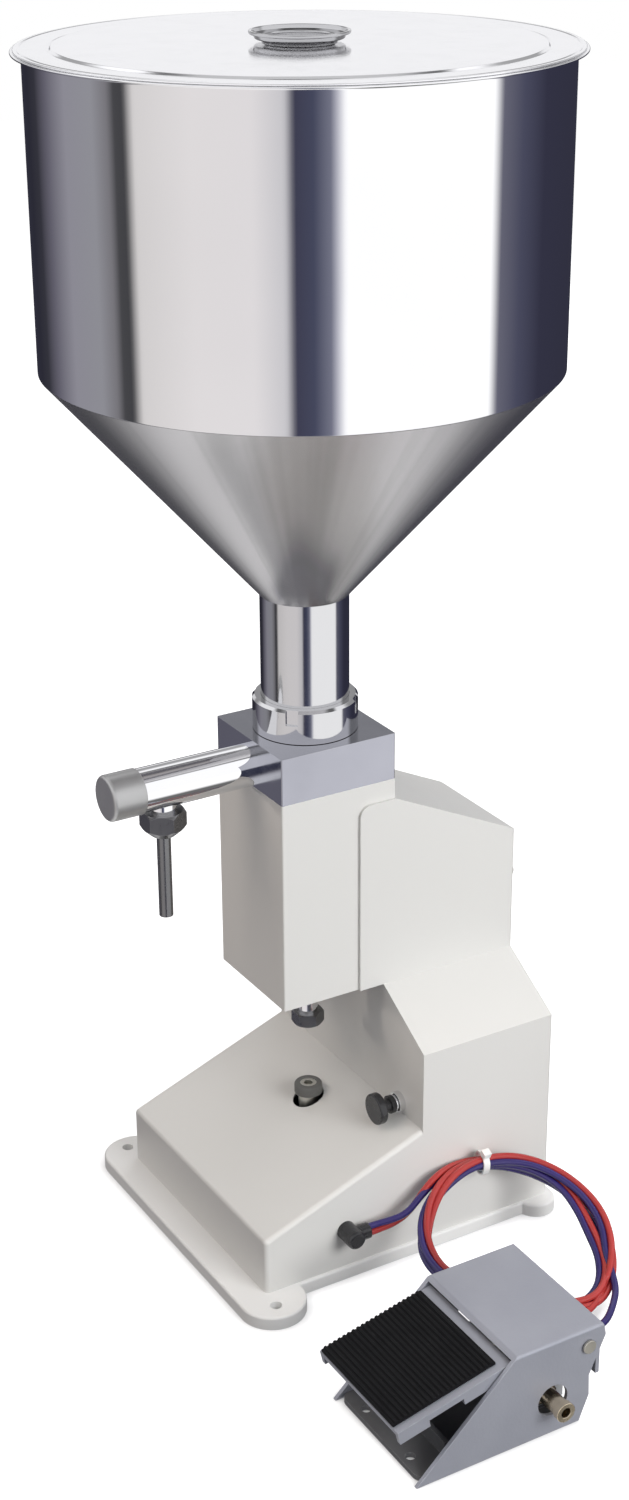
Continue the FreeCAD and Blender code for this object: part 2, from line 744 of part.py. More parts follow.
def hopper_lid():
    t = lid_sheet
    top = [(0, lid_top), (lid_step_r - 2, lid_top), (lid_step_r, lid_low + t), (lid_r, lid_low + t)]
    under = [(lid_r, lid_low), (lid_step_r, lid_low), (lid_step_r - 2, lid_top - t), (0, lid_top - t)]
    lid = turned(top + under)
    skirt_r = hopper_r - hopper_sheet - 1.0
    skirt = ring(skirt_r, skirt_r - t, 0, 0, lid_low - lid_skirt, lid_low)
    return lid.fuse(skirt).removeSplitter()


def lid_knob():
    z = lid_top
    r = knob_r
    top = z + knob_h
    profile = [(0, z), (knob_waist_r + 2, z), (knob_waist_r, z + 1), (knob_waist_r, top - knob_lip - 1),
               (r - 1.5, top - knob_lip - 0.3), (r, top - knob_lip), (r, top - 0.5), (r - 0.6, top),
               (r - 1.6, top), (r - 4, top - knob_dish), (0, top - knob_dish)]
    return turned(profile)


# ---- outlet ----

def outlet_tube():
    y0, y1 = tube_end_y, column_front
    tube = rod_y(tube_r, 0, outlet_z, y0, y1)
    tube = tube.fuse(rod_y(spigot_r, 0, outlet_z, y1, y1 + spigot_l))
    tube = tube.fuse(rod(union_boss_r, 0, nozzle_y, union_z + union_h - 4, outlet_z)).removeSplitter()
    tube = tube.cut(rod_y(tube_bore_r, 0, outlet_z, y0 - 1, outlet_seat_y))
    tube = tube.cut(rod_y(outlet_hole_r, 0, outlet_z, y0, y1 + spigot_l + 1))
    return tube.cut(rod(nozzle_bore_r, 0, nozzle_y, 0, outlet_z))


def outlet_ball():
    return Part.makeSphere(outlet_ball_r, V(0, outlet_ball_y, outlet_z))


def outlet_spring():
    """Spring at its length with the valve open; it rides with the ball."""
    first = outlet_ball_y - math.sqrt(outlet_ball_r ** 2 - 16) - 0.2
    last = tube_end_y + cap_spigot + outlet_lift + 0.3
    return spring(0.6, 4.0, first - last, 8, V(0, first, outlet_z), -Y)


cap_spigot = 8.0


def end_cap():
    y1 = tube_end_y
    cap = rod_y(cap_r, 0, outlet_z, y1 - cap_l, y1)
    cap = rounded(cap, 2.0, lambda e: e.BoundBox.YMax < y1 - cap_l + 0.01)
    return cap.fuse(rod_y(tube_bore_r - 0.05, 0, outlet_z, y1, y1 + cap_spigot)).removeSplitter()


def union_nut():
    z0, z1 = union_z, union_z + union_h
    nut = hexagon(union_af, 0, nozzle_y, z0, z1)
    shape = turned([(0, z0), (nozzle_r + 3, z0), (union_af / 2 + 2, z0 + 6), (union_af / 2 + 2, z1 - 2),
                    (union_af / 2, z1), (0, z1)], 0, nozzle_y)
    nut = nut.common(shape)
    nut = nut.cut(rod(union_boss_r + 0.05, 0, nozzle_y, z0 + 8, z1 + 1))
    return nut.cut(rod(nozzle_r + nozzle_collar + 0.05, 0, nozzle_y, z0 - 1, z1))


def nozzle():
    low_of_tube = union_z + union_h - 4
    body = rod(nozzle_r, 0, nozzle_y, nozzle_tip_z, low_of_tube)
    body = body.fuse(rod(nozzle_r + nozzle_collar, 0, nozzle_y, nozzle_tip_z + 50.0, low_of_tube))
    body = body.fuse(rod(7.0, 0, nozzle_y, low_of_tube - 2.5, low_of_tube)).removeSplitter()
    return body.cut(rod(nozzle_bore_r, 0, nozzle_y, nozzle_tip_z - 1, low_of_tube + 1))


# ---- stroke stop and air valve ----

def stop_post():
    post = rod(stop_post_r, 0, 0, plate_top, stop_post_top)
    post = post.fuse(rod(stop_post_r + 8, 0, 0, plate_top, plate_top + 5)).removeSplitter()
    return post.cut(rod(stop_screw_r + fit, 0, 0, plate_top + 8, stop_post_top + 1))


def stop_screw():
    shank_top = bumper_top - bumper_h
    body = rod(stop_screw_r, 0, 0, stop_post_top - 30, shank_top)
    head = rod(stop_head_r, 0, 0, shank_top, bumper_top - 0.5)
    socket = hexagon(5.0, 0, 0, bumper_top - 3.5, bumper_top)
    return body.fuse(head).removeSplitter().cut(socket)


def stop_bumper():
    z0 = bumper_top - bumper_h
    body = ring(bumper_r, stop_head_r, 0, 0, z0, bumper_top)
    return rounded(body, 1.5, lambda e: e.BoundBox.ZMin > bumper_top - 0.01 and e.Length > 40)


def air_valve_body():
    inside = wall_y + sheet
    body = box(knob_x - 10, knob_x + 10, inside, inside + 26, knob_z - 10, knob_z + 10)
    body = body.fuse(rod_y(valve_neck_r, knob_x, knob_z, wall_y - 5, inside))
    body = body.fuse(rod_y(6.5, knob_x, knob_z, wall_y - 4, wall_y)).removeSplitter()
    body = rounded(body, 0.8, lambda e: e.BoundBox.YMax < wall_y - 4.9)
    return body.cut(rod_y(2.0 + fit, knob_x, knob_z, wall_y - 6, inside + 8))


def air_valve_knob():
    y1 = wall_y - 5.3
    knob = rod_y(valve_knob_r, knob_x, knob_z, y1 - 13.5, y1 - 8.5)
    knob = rounded(knob, 1.0, lambda e: len(e.Vertexes) == 1)
    knob = knob.fuse(rod_y(4.0, knob_x, knob_z, y1 - 9, y1))
    knob = knob.fuse(rod_y(5.5, knob_x, knob_z, y1 - 3, y1))
    return knob.fuse(rod_y(2.0, knob_x, knob_z, y1, y1 + 8)).removeSplitter()


# ---- air lines ----

def hose_levels():
    return (gland_z - hose_pitch / 2, gland_z + hose_pitch / 2)


gland_mouth_y = gland_y + 11.0
gland_mid_x = foot_half + 7.0


def hose_gland():
    """Elbow gland: stub through the side wall, round body, mouth towards the back."""
    body = rod_x(gland_r, gland_y, gland_z, foot_half, foot_half + gland_out)
    body = rounded(body, 2.0, lambda e: e.BoundBox.XMin > foot_half + gland_out - 0.01)
    body = body.fuse(rod_y(gland_neck_r, gland_mid_x, gland_z, gland_y, gland_mouth_y))
    body = body.fuse(rod_x(gland_neck_r, gland_y, gland_z, foot_half - sheet, foot_half))
    body = body.fuse(hexagon_x(gland_nut_af, gland_y, gland_z, foot_half - sheet - 4, foot_half - sheet))
    return body.removeSplitter()


def hexagon_x(across_flats, y, z, x0, x1):
    r = across_flats / math.sqrt(3)
    corners = [V(x0, y + r * math.cos(math.radians(60 * i)), z + r * math.sin(math.radians(60 * i)))
               for i in range(6)]
    return prism(corners, V(x1 - x0, 0, 0))


def fitting(axis, at, out, grip=5.0):
    """Push-in fitting: hexagon on the port and a round collar that holds the tube."""
    body = Part.makeCylinder(port_r, port_l - 1, V(0, 0, -(port_l - 1)), Z)
    body = body.fuse(hexagon(10.0, 0, 0, 0, 4)).fuse(Part.makeCylinder(4.6, out - 4, V(0, 0, 4), Z))
    body = body.removeSplitter().cut(Part.makeCylinder(hose_r, grip, V(0, 0, out - grip), Z))
    body.Placement = FreeCAD.Placement(V(*at), FreeCAD.Rotation(Z, axis))
    return body


fitting_out = 12.0
port_red_x = pedal_x - 20.0
port_blue_x = pedal_x - 4.0
port_z = 18.0


def air_ports():
    return [(air_low + air_rear_top) / 2, (air_front_low + air_top) / 2]


def push_in_fittings():
    parts = [fitting(X, (air_cap_half, air_y, z), fitting_out) for z in air_ports()]
    parts += [fitting(Y, (x, valve_y[1], port_z), fitting_out) for x in (port_red_x, port_blue_x)]
    return Part.makeCompound(parts)


def inner_air_lines():
    """Two tubes from the gland to the air cylinder, inside the housing."""
    low, high = hose_levels()
    x_in = foot_half - sheet - 4
    x_out = air_cap_half + fitting_out - 5
    low_port, high_port = air_ports()
    red = [(x_in, gland_y, low), (62, gland_y, low), (54, 4, 36), (54, 40, 52), (50, 66, 66),
           (44, air_y, low_port), (x_out, air_y, low_port)]
    blue = [(x_in, gland_y, high), (68, gland_y, high + 1), (70, 2, 44), (74, 38, 60), (73, 66, 94),
            (64, air_y + 2, 134), (50, air_y, high_port), (x_out, air_y, high_port)]
    return Part.makeCompound([tube_along(route_wire(p, n), hose_r, n)
                              for p, n in ((red, "inner red"), (blue, "inner blue"))])


def coil_frame():
    """Centre, two in-plane directions (along +Y, up the slope) and normal of the coil."""
    tilt = math.radians(coil_tilt)
    up = V(-math.cos(tilt), 0, math.sin(tilt))
    centre = V(foot_half + coil_gap + bundle_r + coil_r * math.cos(tilt), coil_y,
               bundle_r + coil_gap / 2 + coil_r * math.sin(tilt))
    return centre, Y, up, Y.cross(up)


def on_coil(angle, r=None):
    centre, u, v, _ = coil_frame()
    a = math.radians(angle)
    return centre + (u * math.cos(a) + v * math.sin(a)) * (coil_r if r is None else r)


def coil_path():
    """Round coil with one flat side where it passes the foot valve's corner."""
    corner = coil_corner_r
    beta = math.degrees(math.acos((coil_flat - corner) / (coil_r - corner)))
    arc_end, arc_start = coil_flat_at + beta, coil_flat_at - beta + 360
    first, last = on_coil(arc_end), on_coil(arc_start)
    round_part = Part.Arc(first, on_coil((arc_end + arc_start) / 2), last).toShape()
    centre, u, v, _ = coil_frame()
    edges = [round_part]
    ends = []
    for side in (-1, 1):
        turn = coil_flat_at + side * beta
        middle = on_coil(turn, coil_r - corner)
        a, b = math.radians(turn), math.radians(coil_flat_at)
        flat_end = middle + (u * math.cos(b) + v * math.sin(b)) * corner
        half = (turn + coil_flat_at) / 2
        h = math.radians(half)
        mid = middle + (u * math.cos(h) + v * math.sin(h)) * corner
        start = on_coil(turn)
        edges.append(Part.Arc(start, mid, flat_end).toShape())
        ends.append(flat_end)
    edges.append(Part.LineSegment(ends[0], ends[1]).toShape())
    return Part.Wire(Part.__sortEdges__(edges))


def hose_coil():
    path = coil_path()
    edge = path.Edges[0]
    start = edge.valueAt(edge.FirstParameter)
    section = Part.Wire(Part.Circle(start, edge.tangentAt(edge.FirstParameter), bundle_r).toShape())
    solid = path.makePipeShell([section], True, False)
    print("hose_coil path", round(path.Length, 1), "volume ratio",
          round(solid.Volume / (math.pi * bundle_r ** 2 * path.Length), 4))
    return solid


def hose_tie():
    """Strap round the bundle at the top of the coil."""
    centre, u, v, n = coil_frame()
    at = on_coil(tie_angle)
    a = math.radians(tie_angle)
    along = u * -math.sin(a) + v * math.cos(a)
    outer = Part.makeCylinder(bundle_r + 1.2, 4.0, at - along * 2, along)
    band = outer.cut(Part.makeCylinder(bundle_r + 0.05, 8.0, at - along * 4, along))
    head = Part.makeBox(4.5, 5.0, 4.0, V(-2.25, -2.5, 0))
    head.Placement = FreeCAD.Placement(at + n * (bundle_r + 0.6), FreeCAD.Rotation(Z, n))
    return band.fuse(head).removeSplitter()


tie_angle = 80.0
join_angle = 118.0
leave_angle = -40.0


def red_lead_points():
    low, _ = hose_levels()
    p = on_coil(join_angle)
    return [(gland_mid_x, gland_mouth_y, low), (gland_mid_x, -6.5, low), (92.6, 2.5, 33.4),
            (94.6, 12.5, 38.8), (p.x, p.y, p.z)]


def blue_lead_points():
    _, high = hose_levels()
    p = on_coil(join_angle + 8)
    return [(gland_mid_x, gland_mouth_y, high), (gland_mid_x, -7.0, high), (93.4, 0.6, 37.0),
            (97.4, 9.4, 41.0), (p.x, p.y, p.z)]


def red_tail_points():
    p = on_coil(leave_angle, coil_r - 1)
    return [(p.x, p.y, p.z), (180.5, 90.0, 10.4), (188.5, 79.5, 8.0), (194.0, 67.0, 9.4),
            (port_red_x, 53.5, 14.6), (port_red_x, 42.5, port_z),
            (port_red_x, valve_y[1] + fitting_out - 5, port_z)]


def blue_tail_points():
    p = on_coil(leave_angle + 8, coil_r + 3)
    return [(p.x, p.y, p.z), (185.0, 97.0, 11.4), (196.0, 86.0, 8.4), (206.0, 73.0, 8.6),
            (210.6, 58.6, 12.8), (port_blue_x, 45.0, port_z),
            (port_blue_x, valve_y[1] + fitting_out - 5, port_z)]


def free_hose(name, lead, tail):
    """The two stretches of a hose outside its coil."""
    runs = ((name + " lead", lead), (name + " tail", tail))
    return Part.makeCompound([tube_along(route_wire(points, label), hose_r, label) for label, points in runs])


# ---- foot valve ----

def pedal_profile(inset):
    """Cheek outline in the Y-Z plane."""
    i = inset
    return [(cover_front + i, pedal_h - i), (pedal_front + 2.2 * i, 0.0), (17.0 - i, 0.0),
            (23.0 - i, 15.0), (22.5 - i, 28.0), (cover_rear + 1.5 - i, 51.0), (cover_rear - i, pedal_h - i)]


def pedal_prism(inset, half):
    x0 = pedal_x - half
    points = [V(x0, y, z) for y, z in pedal_profile(inset)]
    return prism(points, V(2 * half, 0, 0))


def pedal_cover():
    """Two cheeks and the bridge that joins them over the valve."""
    body = pedal_prism(0.0, pedal_half)
    body = rounded(body, 2.0, lambda e: e.BoundBox.ZMin > pedal_h - 0.01)
    inner = box(pedal_x - pedal_half + cover_t, pedal_x + pedal_half - cover_t, -200, 200,
                -1, pedal_h - cover_t)
    body = body.cut(inner)
    low_back = box(pedal_x - pedal_half + cover_t, pedal_x + pedal_half - cover_t,
                   cover_rear - cover_t, cover_rear, cover_back_low, pedal_h - cover_t + 0.5)
    body = body.fuse(low_back)
    y, z = cheek_hole
    body = body.cut(rod_x(cheek_hole_r, y, z, pedal_x - 60, pedal_x + 60))
    return body.cut(rod_x(pivot_r + fit, pivot_y, pivot_z, pedal_x - 60, pedal_x + 60)).removeSplitter()


def pedal_base():
    """Floor between the cheeks with a lip at the toe and a block under the valve."""
    half = pedal_half - cover_t
    x0, x1 = pedal_x - half, pedal_x + half
    base = box(x0, x1, pedal_front + 3, 16.0, 0, base_t)
    base = rounded(base, 6.0, lambda e: abs(e.tangentAt(e.FirstParameter).z) > 0.99
                   and e.BoundBox.YMax < -50)
    base = base.fuse(box(x0 + 8, x1 - 8, pedal_front + 24, pedal_front + 27, 0, base_lip))
    base = base.fuse(box(pedal_x - valve_half, pedal_x + valve_half, valve_y[0], valve_y[1] - 3, 0, valve_z[0]))
    for s in (-1, 1):
        base = base.cut(rod(base_hole_r, pedal_x + s * base_hole_pitch / 2, base_hole_y, -1, base_t + 1))
    return base.removeSplitter()


def tread_angle():
    return math.degrees(math.atan2(heel_z - toe_z, heel_y - toe_y))


def tread_frame(solid):
    """Lay a solid built along -Y from the heel onto the tread's slope."""
    solid.rotate(V(0, 0, 0), X, tread_angle())
    solid.translate(V(pedal_x, heel_y, heel_z))
    return solid


def tread_length():
    return math.hypot(heel_y - toe_y, heel_z - toe_z)


def pedal_tread():
    """Pressed plate with side skirts, a toe lip and two arms back to the pivot."""
    length = tread_length()
    plate = box(-tread_half, tread_half, -length, 0, -tread_t, 0)
    skirt_h = 8.0
    for s in (-1, 1):
        x0, x1 = sorted((s * tread_half, s * (tread_half - tread_t)))
        skirt = box(x0, x1, -length, 0, -skirt_h, 0)
        notch = box(x0 - 1, x1 + 1, -length * 0.74, -length * 0.44, -skirt_h - 1, -skirt_h + 4)
        plate = plate.fuse(skirt.cut(notch))
    plate = tread_frame(plate.removeSplitter())
    for s in (-1, 1):
        xa, xb = sorted((pedal_x + s * arm_x[0], pedal_x + s * arm_x[1]))
        profile = [V(xa, heel_y - 5, heel_z - 9), V(xa, heel_y - 1.5, heel_z - 1.5),
                   V(xa, pivot_y, pivot_z + 5), V(xa, pivot_y + 5, pivot_z), V(xa, pivot_y, pivot_z - 5)]
        plate = plate.fuse(prism(profile, V(xb - xa, 0, 0)))
    plate = plate.cut(rod_x(pivot_r + fit, pivot_y, pivot_z, pedal_x - 60, pedal_x + 60))
    return plate.removeSplitter()


arm_x = (30.0, 34.0)
pad_margin = 5.0


def tread_pad():
    length = tread_length()
    half = tread_half - pad_margin
    y_heel = -7.0
    pad = box(-half, half, -length + 1.5, y_heel, 0, pad_t - 1.2)
    count = int((length - 8.5) / rib_pitch)
    for i in range(count):
        y = y_heel - 0.6 - i * rib_pitch
        pad = pad.fuse(box(-half, half, y - rib_pitch * 0.6, y, 0, pad_t))
    return tread_frame(pad.removeSplitter())


def pedal_pin():
    pin = rod_x(pivot_r, pivot_y, pivot_z, pedal_x - pedal_half - 0.5, pedal_x + pedal_half + 0.5)
    for s in (-1, 1):
        x = pedal_x + s * (pedal_half + 0.5)
        x0, x1 = sorted((x, x + s * 1.5))
        pin = pin.fuse(rod_x(4.0, pivot_y, pivot_z, x0, x1))
    return pin.removeSplitter()


def foot_valve_body():
    body = box(pedal_x - valve_half, pedal_x + valve_half, valve_y[0], valve_y[1], valve_z[0], valve_z[1])
    body = body.cut(box(pedal_x - valve_half - 1, pedal_x + valve_half + 1, valve_y[1] - 3, valve_y[1] + 1,
                        -1, valve_z[0] + 1))
    body = rounded(body, 1.0, lambda e: abs(e.tangentAt(e.FirstParameter).z) > 0.99)
    body = body.cut(rod(spool_r + fit, pedal_x, spool_y, valve_z[0] + 2, valve_z[1] + 1))
    for x in (port_red_x, port_blue_x):
        body = body.cut(rod_y(port_r, x, port_z, valve_y[1] - port_l, valve_y[1] + 1))
    y, z = cheek_hole
    inlet = rod_x(port_r + 1.5, y, z, pedal_x + valve_half - port_l, pedal_x + valve_half + 1)
    return body.cut(inlet)


spool_gap = 0.3
spool_travel = 5.0


cross_z = (42.0, 46.0)


def valve_spool():
    """Spool with its push button under the tread's cross tie."""
    top = cross_z[0] - spool_gap
    body = rod(spool_r, pedal_x, spool_y, valve_z[0] + 2.5 + spool_travel, top)
    for z in (15.0, 22.0):
        body = body.cut(ring(spool_r + 1, spool_r - 1.2, pedal_x, spool_y, z, z + 4))
    return rounded(body, 3.0, lambda e: e.BoundBox.ZMin > top - 0.01)


def pedal_spring():
    """Return spring between the valve body and the tread's cross tie."""
    return spring(0.8, 6.6, cross_z[0] - 0.1 - valve_z[1], 4, V(pedal_x, spool_y, valve_z[1]), Z)


def cross_tie():
    return box(pedal_x - arm_x[1], pedal_x + arm_x[1], spool_y - 9, spool_y + 9, cross_z[0], cross_z[1])


def air_inlet_fitting():
    """Brass push-in fitting for the supply, out through the right cheek."""
    y, z = cheek_hole
    x0 = pedal_x + valve_half
    body = rod_x(port_r + 1.5, y, z, x0 - port_l + 1, x0)
    hexa = hexagon_x(13.0, y, z, x0, x0 + 9)
    body = body.fuse(hexa).fuse(rod_x(5.0, y, z, x0 + 9, pedal_x + pedal_half + 12))
    body = body.fuse(rod_x(5.8, y, z, pedal_x + pedal_half + 8, pedal_x + pedal_half + 12)).removeSplitter()
    return body.cut(rod_x(3.0, y, z, pedal_x + pedal_half - 8, pedal_x + pedal_half + 13))


nodes = {
    "base_plate": base_plate,
    "housing": housing,
    "rear_panel": rear_panel,
    "rear_panel_screws": rear_panel_screws,
    "frame_post": frame_post,
    "frame_bolts": frame_bolts,
    "column_shell": column_shell,
    "valve_block": valve_block,
    "block_screws": block_screws,
    "barrel": barrel,
    "rod_bushes": rod_bushes,
    "piston": piston,
    "piston_seals": piston_seals,
    "piston_rod": piston_rod,
    "rod_end_nut": rod_end_nut,
    "crosshead_arm": crosshead_arm,
    "cylinder_front_cap": cylinder_front_cap,
    "cylinder_rear_cap": cylinder_rear_cap,
    "cylinder_tube": cylinder_tube,
    "cylinder_tie_rods": cylinder_tie_rods,
    "air_piston": air_piston,
    "air_piston_rod": air_piston_rod,
    "hopper_wall": hopper_wall,
    "hopper_cone": hopper_cone,
    "hopper_neck": hopper_neck,
    "neck_nut": neck_nut,
    "neck_gasket": neck_gasket,
    "inlet_seat": inlet_seat,
    "inlet_ball": inlet_ball,
    "inlet_cage": inlet_cage,
    "inlet_spring": inlet_spring,
    "hopper_lid": hopper_lid,
    "lid_knob": lid_knob,
    "outlet_tube": outlet_tube,
    "outlet_ball": outlet_ball,
    "outlet_spring": outlet_spring,
    "end_cap": end_cap,
    "union_nut": union_nut,
    "nozzle": nozzle,
    "stop_post": stop_post,
    "stop_screw": stop_screw,
    "stop_bumper": stop_bumper,
    "air_valve_body": air_valve_body,
    "air_valve_knob": air_valve_knob,
    "hose_gland": hose_gland,
    "push_in_fittings": push_in_fittings,
    "inner_air_lines": inner_air_lines,
    "pedal_cover": pedal_cover,
    "pedal_base": pedal_base,
    "pedal_tread": lambda: pedal_tread().fuse(cross_tie()).removeSplitter(),
    "tread_pad": tread_pad,
    "pedal_pin": pedal_pin,
    "foot_valve_body": foot_valve_body,
    "valve_spool": valve_spool,
    "pedal_spring": pedal_spring,
    "air_inlet_fitting": air_inlet_fitting,
    "hose_coil": hose_coil,
    "hose_tie": hose_tie,
    "red_hose": lambda: free_hose("red", red_lead_points(), red_tail_points()),
    "blue_hose": lambda: free_hose("blue", blue_lead_points(), blue_tail_points()),
}

os.makedirs("parts", exist_ok=True)
for name, make in nodes.items():
    shape = make()
    solids = shape.Solids
    good = shape.isValid() and solids and all(s.Volume > 0 for s in solids)
    if not good:
        print("BAD", name, shape.isValid(), [s.Volume for s in solids])
    shape.exportStep("parts/" + name + ".step")
print(len(nodes), "nodes")
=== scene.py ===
import bpy
import bmesh
import json
import math
from mathutils import Matrix, Vector


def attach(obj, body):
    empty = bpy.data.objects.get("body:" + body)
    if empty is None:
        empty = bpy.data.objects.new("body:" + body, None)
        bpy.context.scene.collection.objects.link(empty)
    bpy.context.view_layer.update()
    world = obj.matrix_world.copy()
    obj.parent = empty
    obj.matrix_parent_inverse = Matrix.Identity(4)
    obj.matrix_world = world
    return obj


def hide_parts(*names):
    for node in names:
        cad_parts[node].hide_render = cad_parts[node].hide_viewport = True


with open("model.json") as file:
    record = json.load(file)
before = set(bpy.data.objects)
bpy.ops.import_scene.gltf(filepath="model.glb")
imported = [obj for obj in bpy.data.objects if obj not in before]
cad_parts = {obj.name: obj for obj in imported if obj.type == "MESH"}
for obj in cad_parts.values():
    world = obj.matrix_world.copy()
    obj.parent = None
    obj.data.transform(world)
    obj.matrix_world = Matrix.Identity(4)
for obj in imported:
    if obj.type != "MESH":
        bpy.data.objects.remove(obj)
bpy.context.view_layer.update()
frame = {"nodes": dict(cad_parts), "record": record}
print("frame loaded", len(frame["nodes"]), "nodes")

mm = 0.001
scene = bpy.context.scene


# ---- camera ----

def makeCamera():
    view = {"azimuth": 59.4934, "elevation": 23.7882, "roll": -0.3766, "distance": 1.332105,
            "target": (0.010028, 0.0, 0.305887), "lens": 56.495}
    az, el, roll = (math.radians(view[k]) for k in ("azimuth", "elevation", "roll"))
    back = Vector((math.sin(az) * math.cos(el), -math.cos(az) * math.cos(el), math.sin(el)))
    right = (-back).cross(Vector((0, 0, 1))).normalized()
    up = right.cross(-back)
    right, up = (math.cos(roll) * right + math.sin(roll) * up,
                 -math.sin(roll) * right + math.cos(roll) * up)
    data = bpy.data.cameras.new("viewCamera")
    data.lens = view["lens"]
    data.sensor_width = 36.0
    data.clip_start, data.clip_end = 0.05, 50.0
    camera = bpy.data.objects.new("viewCamera", data)
    camera.matrix_world = Matrix.Translation(Vector(view["target"]) + back * view["distance"]) @ Matrix(
        (right, up, back)).transposed().to_4x4()
    scene.collection.objects.link(camera)
    scene.camera = camera


makeCamera()


# ---- node helpers ----

def link(tree, source, target):
    tree.links.new(source, target)


def node(tree, kind, **values):
    made = tree.nodes.new(kind)
    for key, value in values.items():
        if key.startswith("in_"):
            index = key[3:]
            made.inputs[int(index) if index.isdigit() else index].default_value = value
        else:
            setattr(made, key, value)
    return made


def math2(tree, operation, a, b=0.0, clamp=False):
    """A math node; a and b are sockets or numbers."""
    made = node(tree, "ShaderNodeMath", operation=operation, use_clamp=clamp)
    for socket, value in zip(made.inputs, (a, b)):
        if isinstance(value, (int, float)):
            socket.default_value = value
        else:
            link(tree, value, socket)
    return made.outputs[0]


def ramp(tree, value, low, high, out_low=0.0, out_high=1.0, smooth=True):
    made = node(tree, "ShaderNodeMapRange", interpolation_type="SMOOTHSTEP" if smooth else "LINEAR",
                in_1=low, in_2=high, in_3=out_low, in_4=out_high)
    link(tree, value, made.inputs[0])
    return made.outputs[0]


# ---- studio: surroundings that the polished steel mirrors, and lamps ----

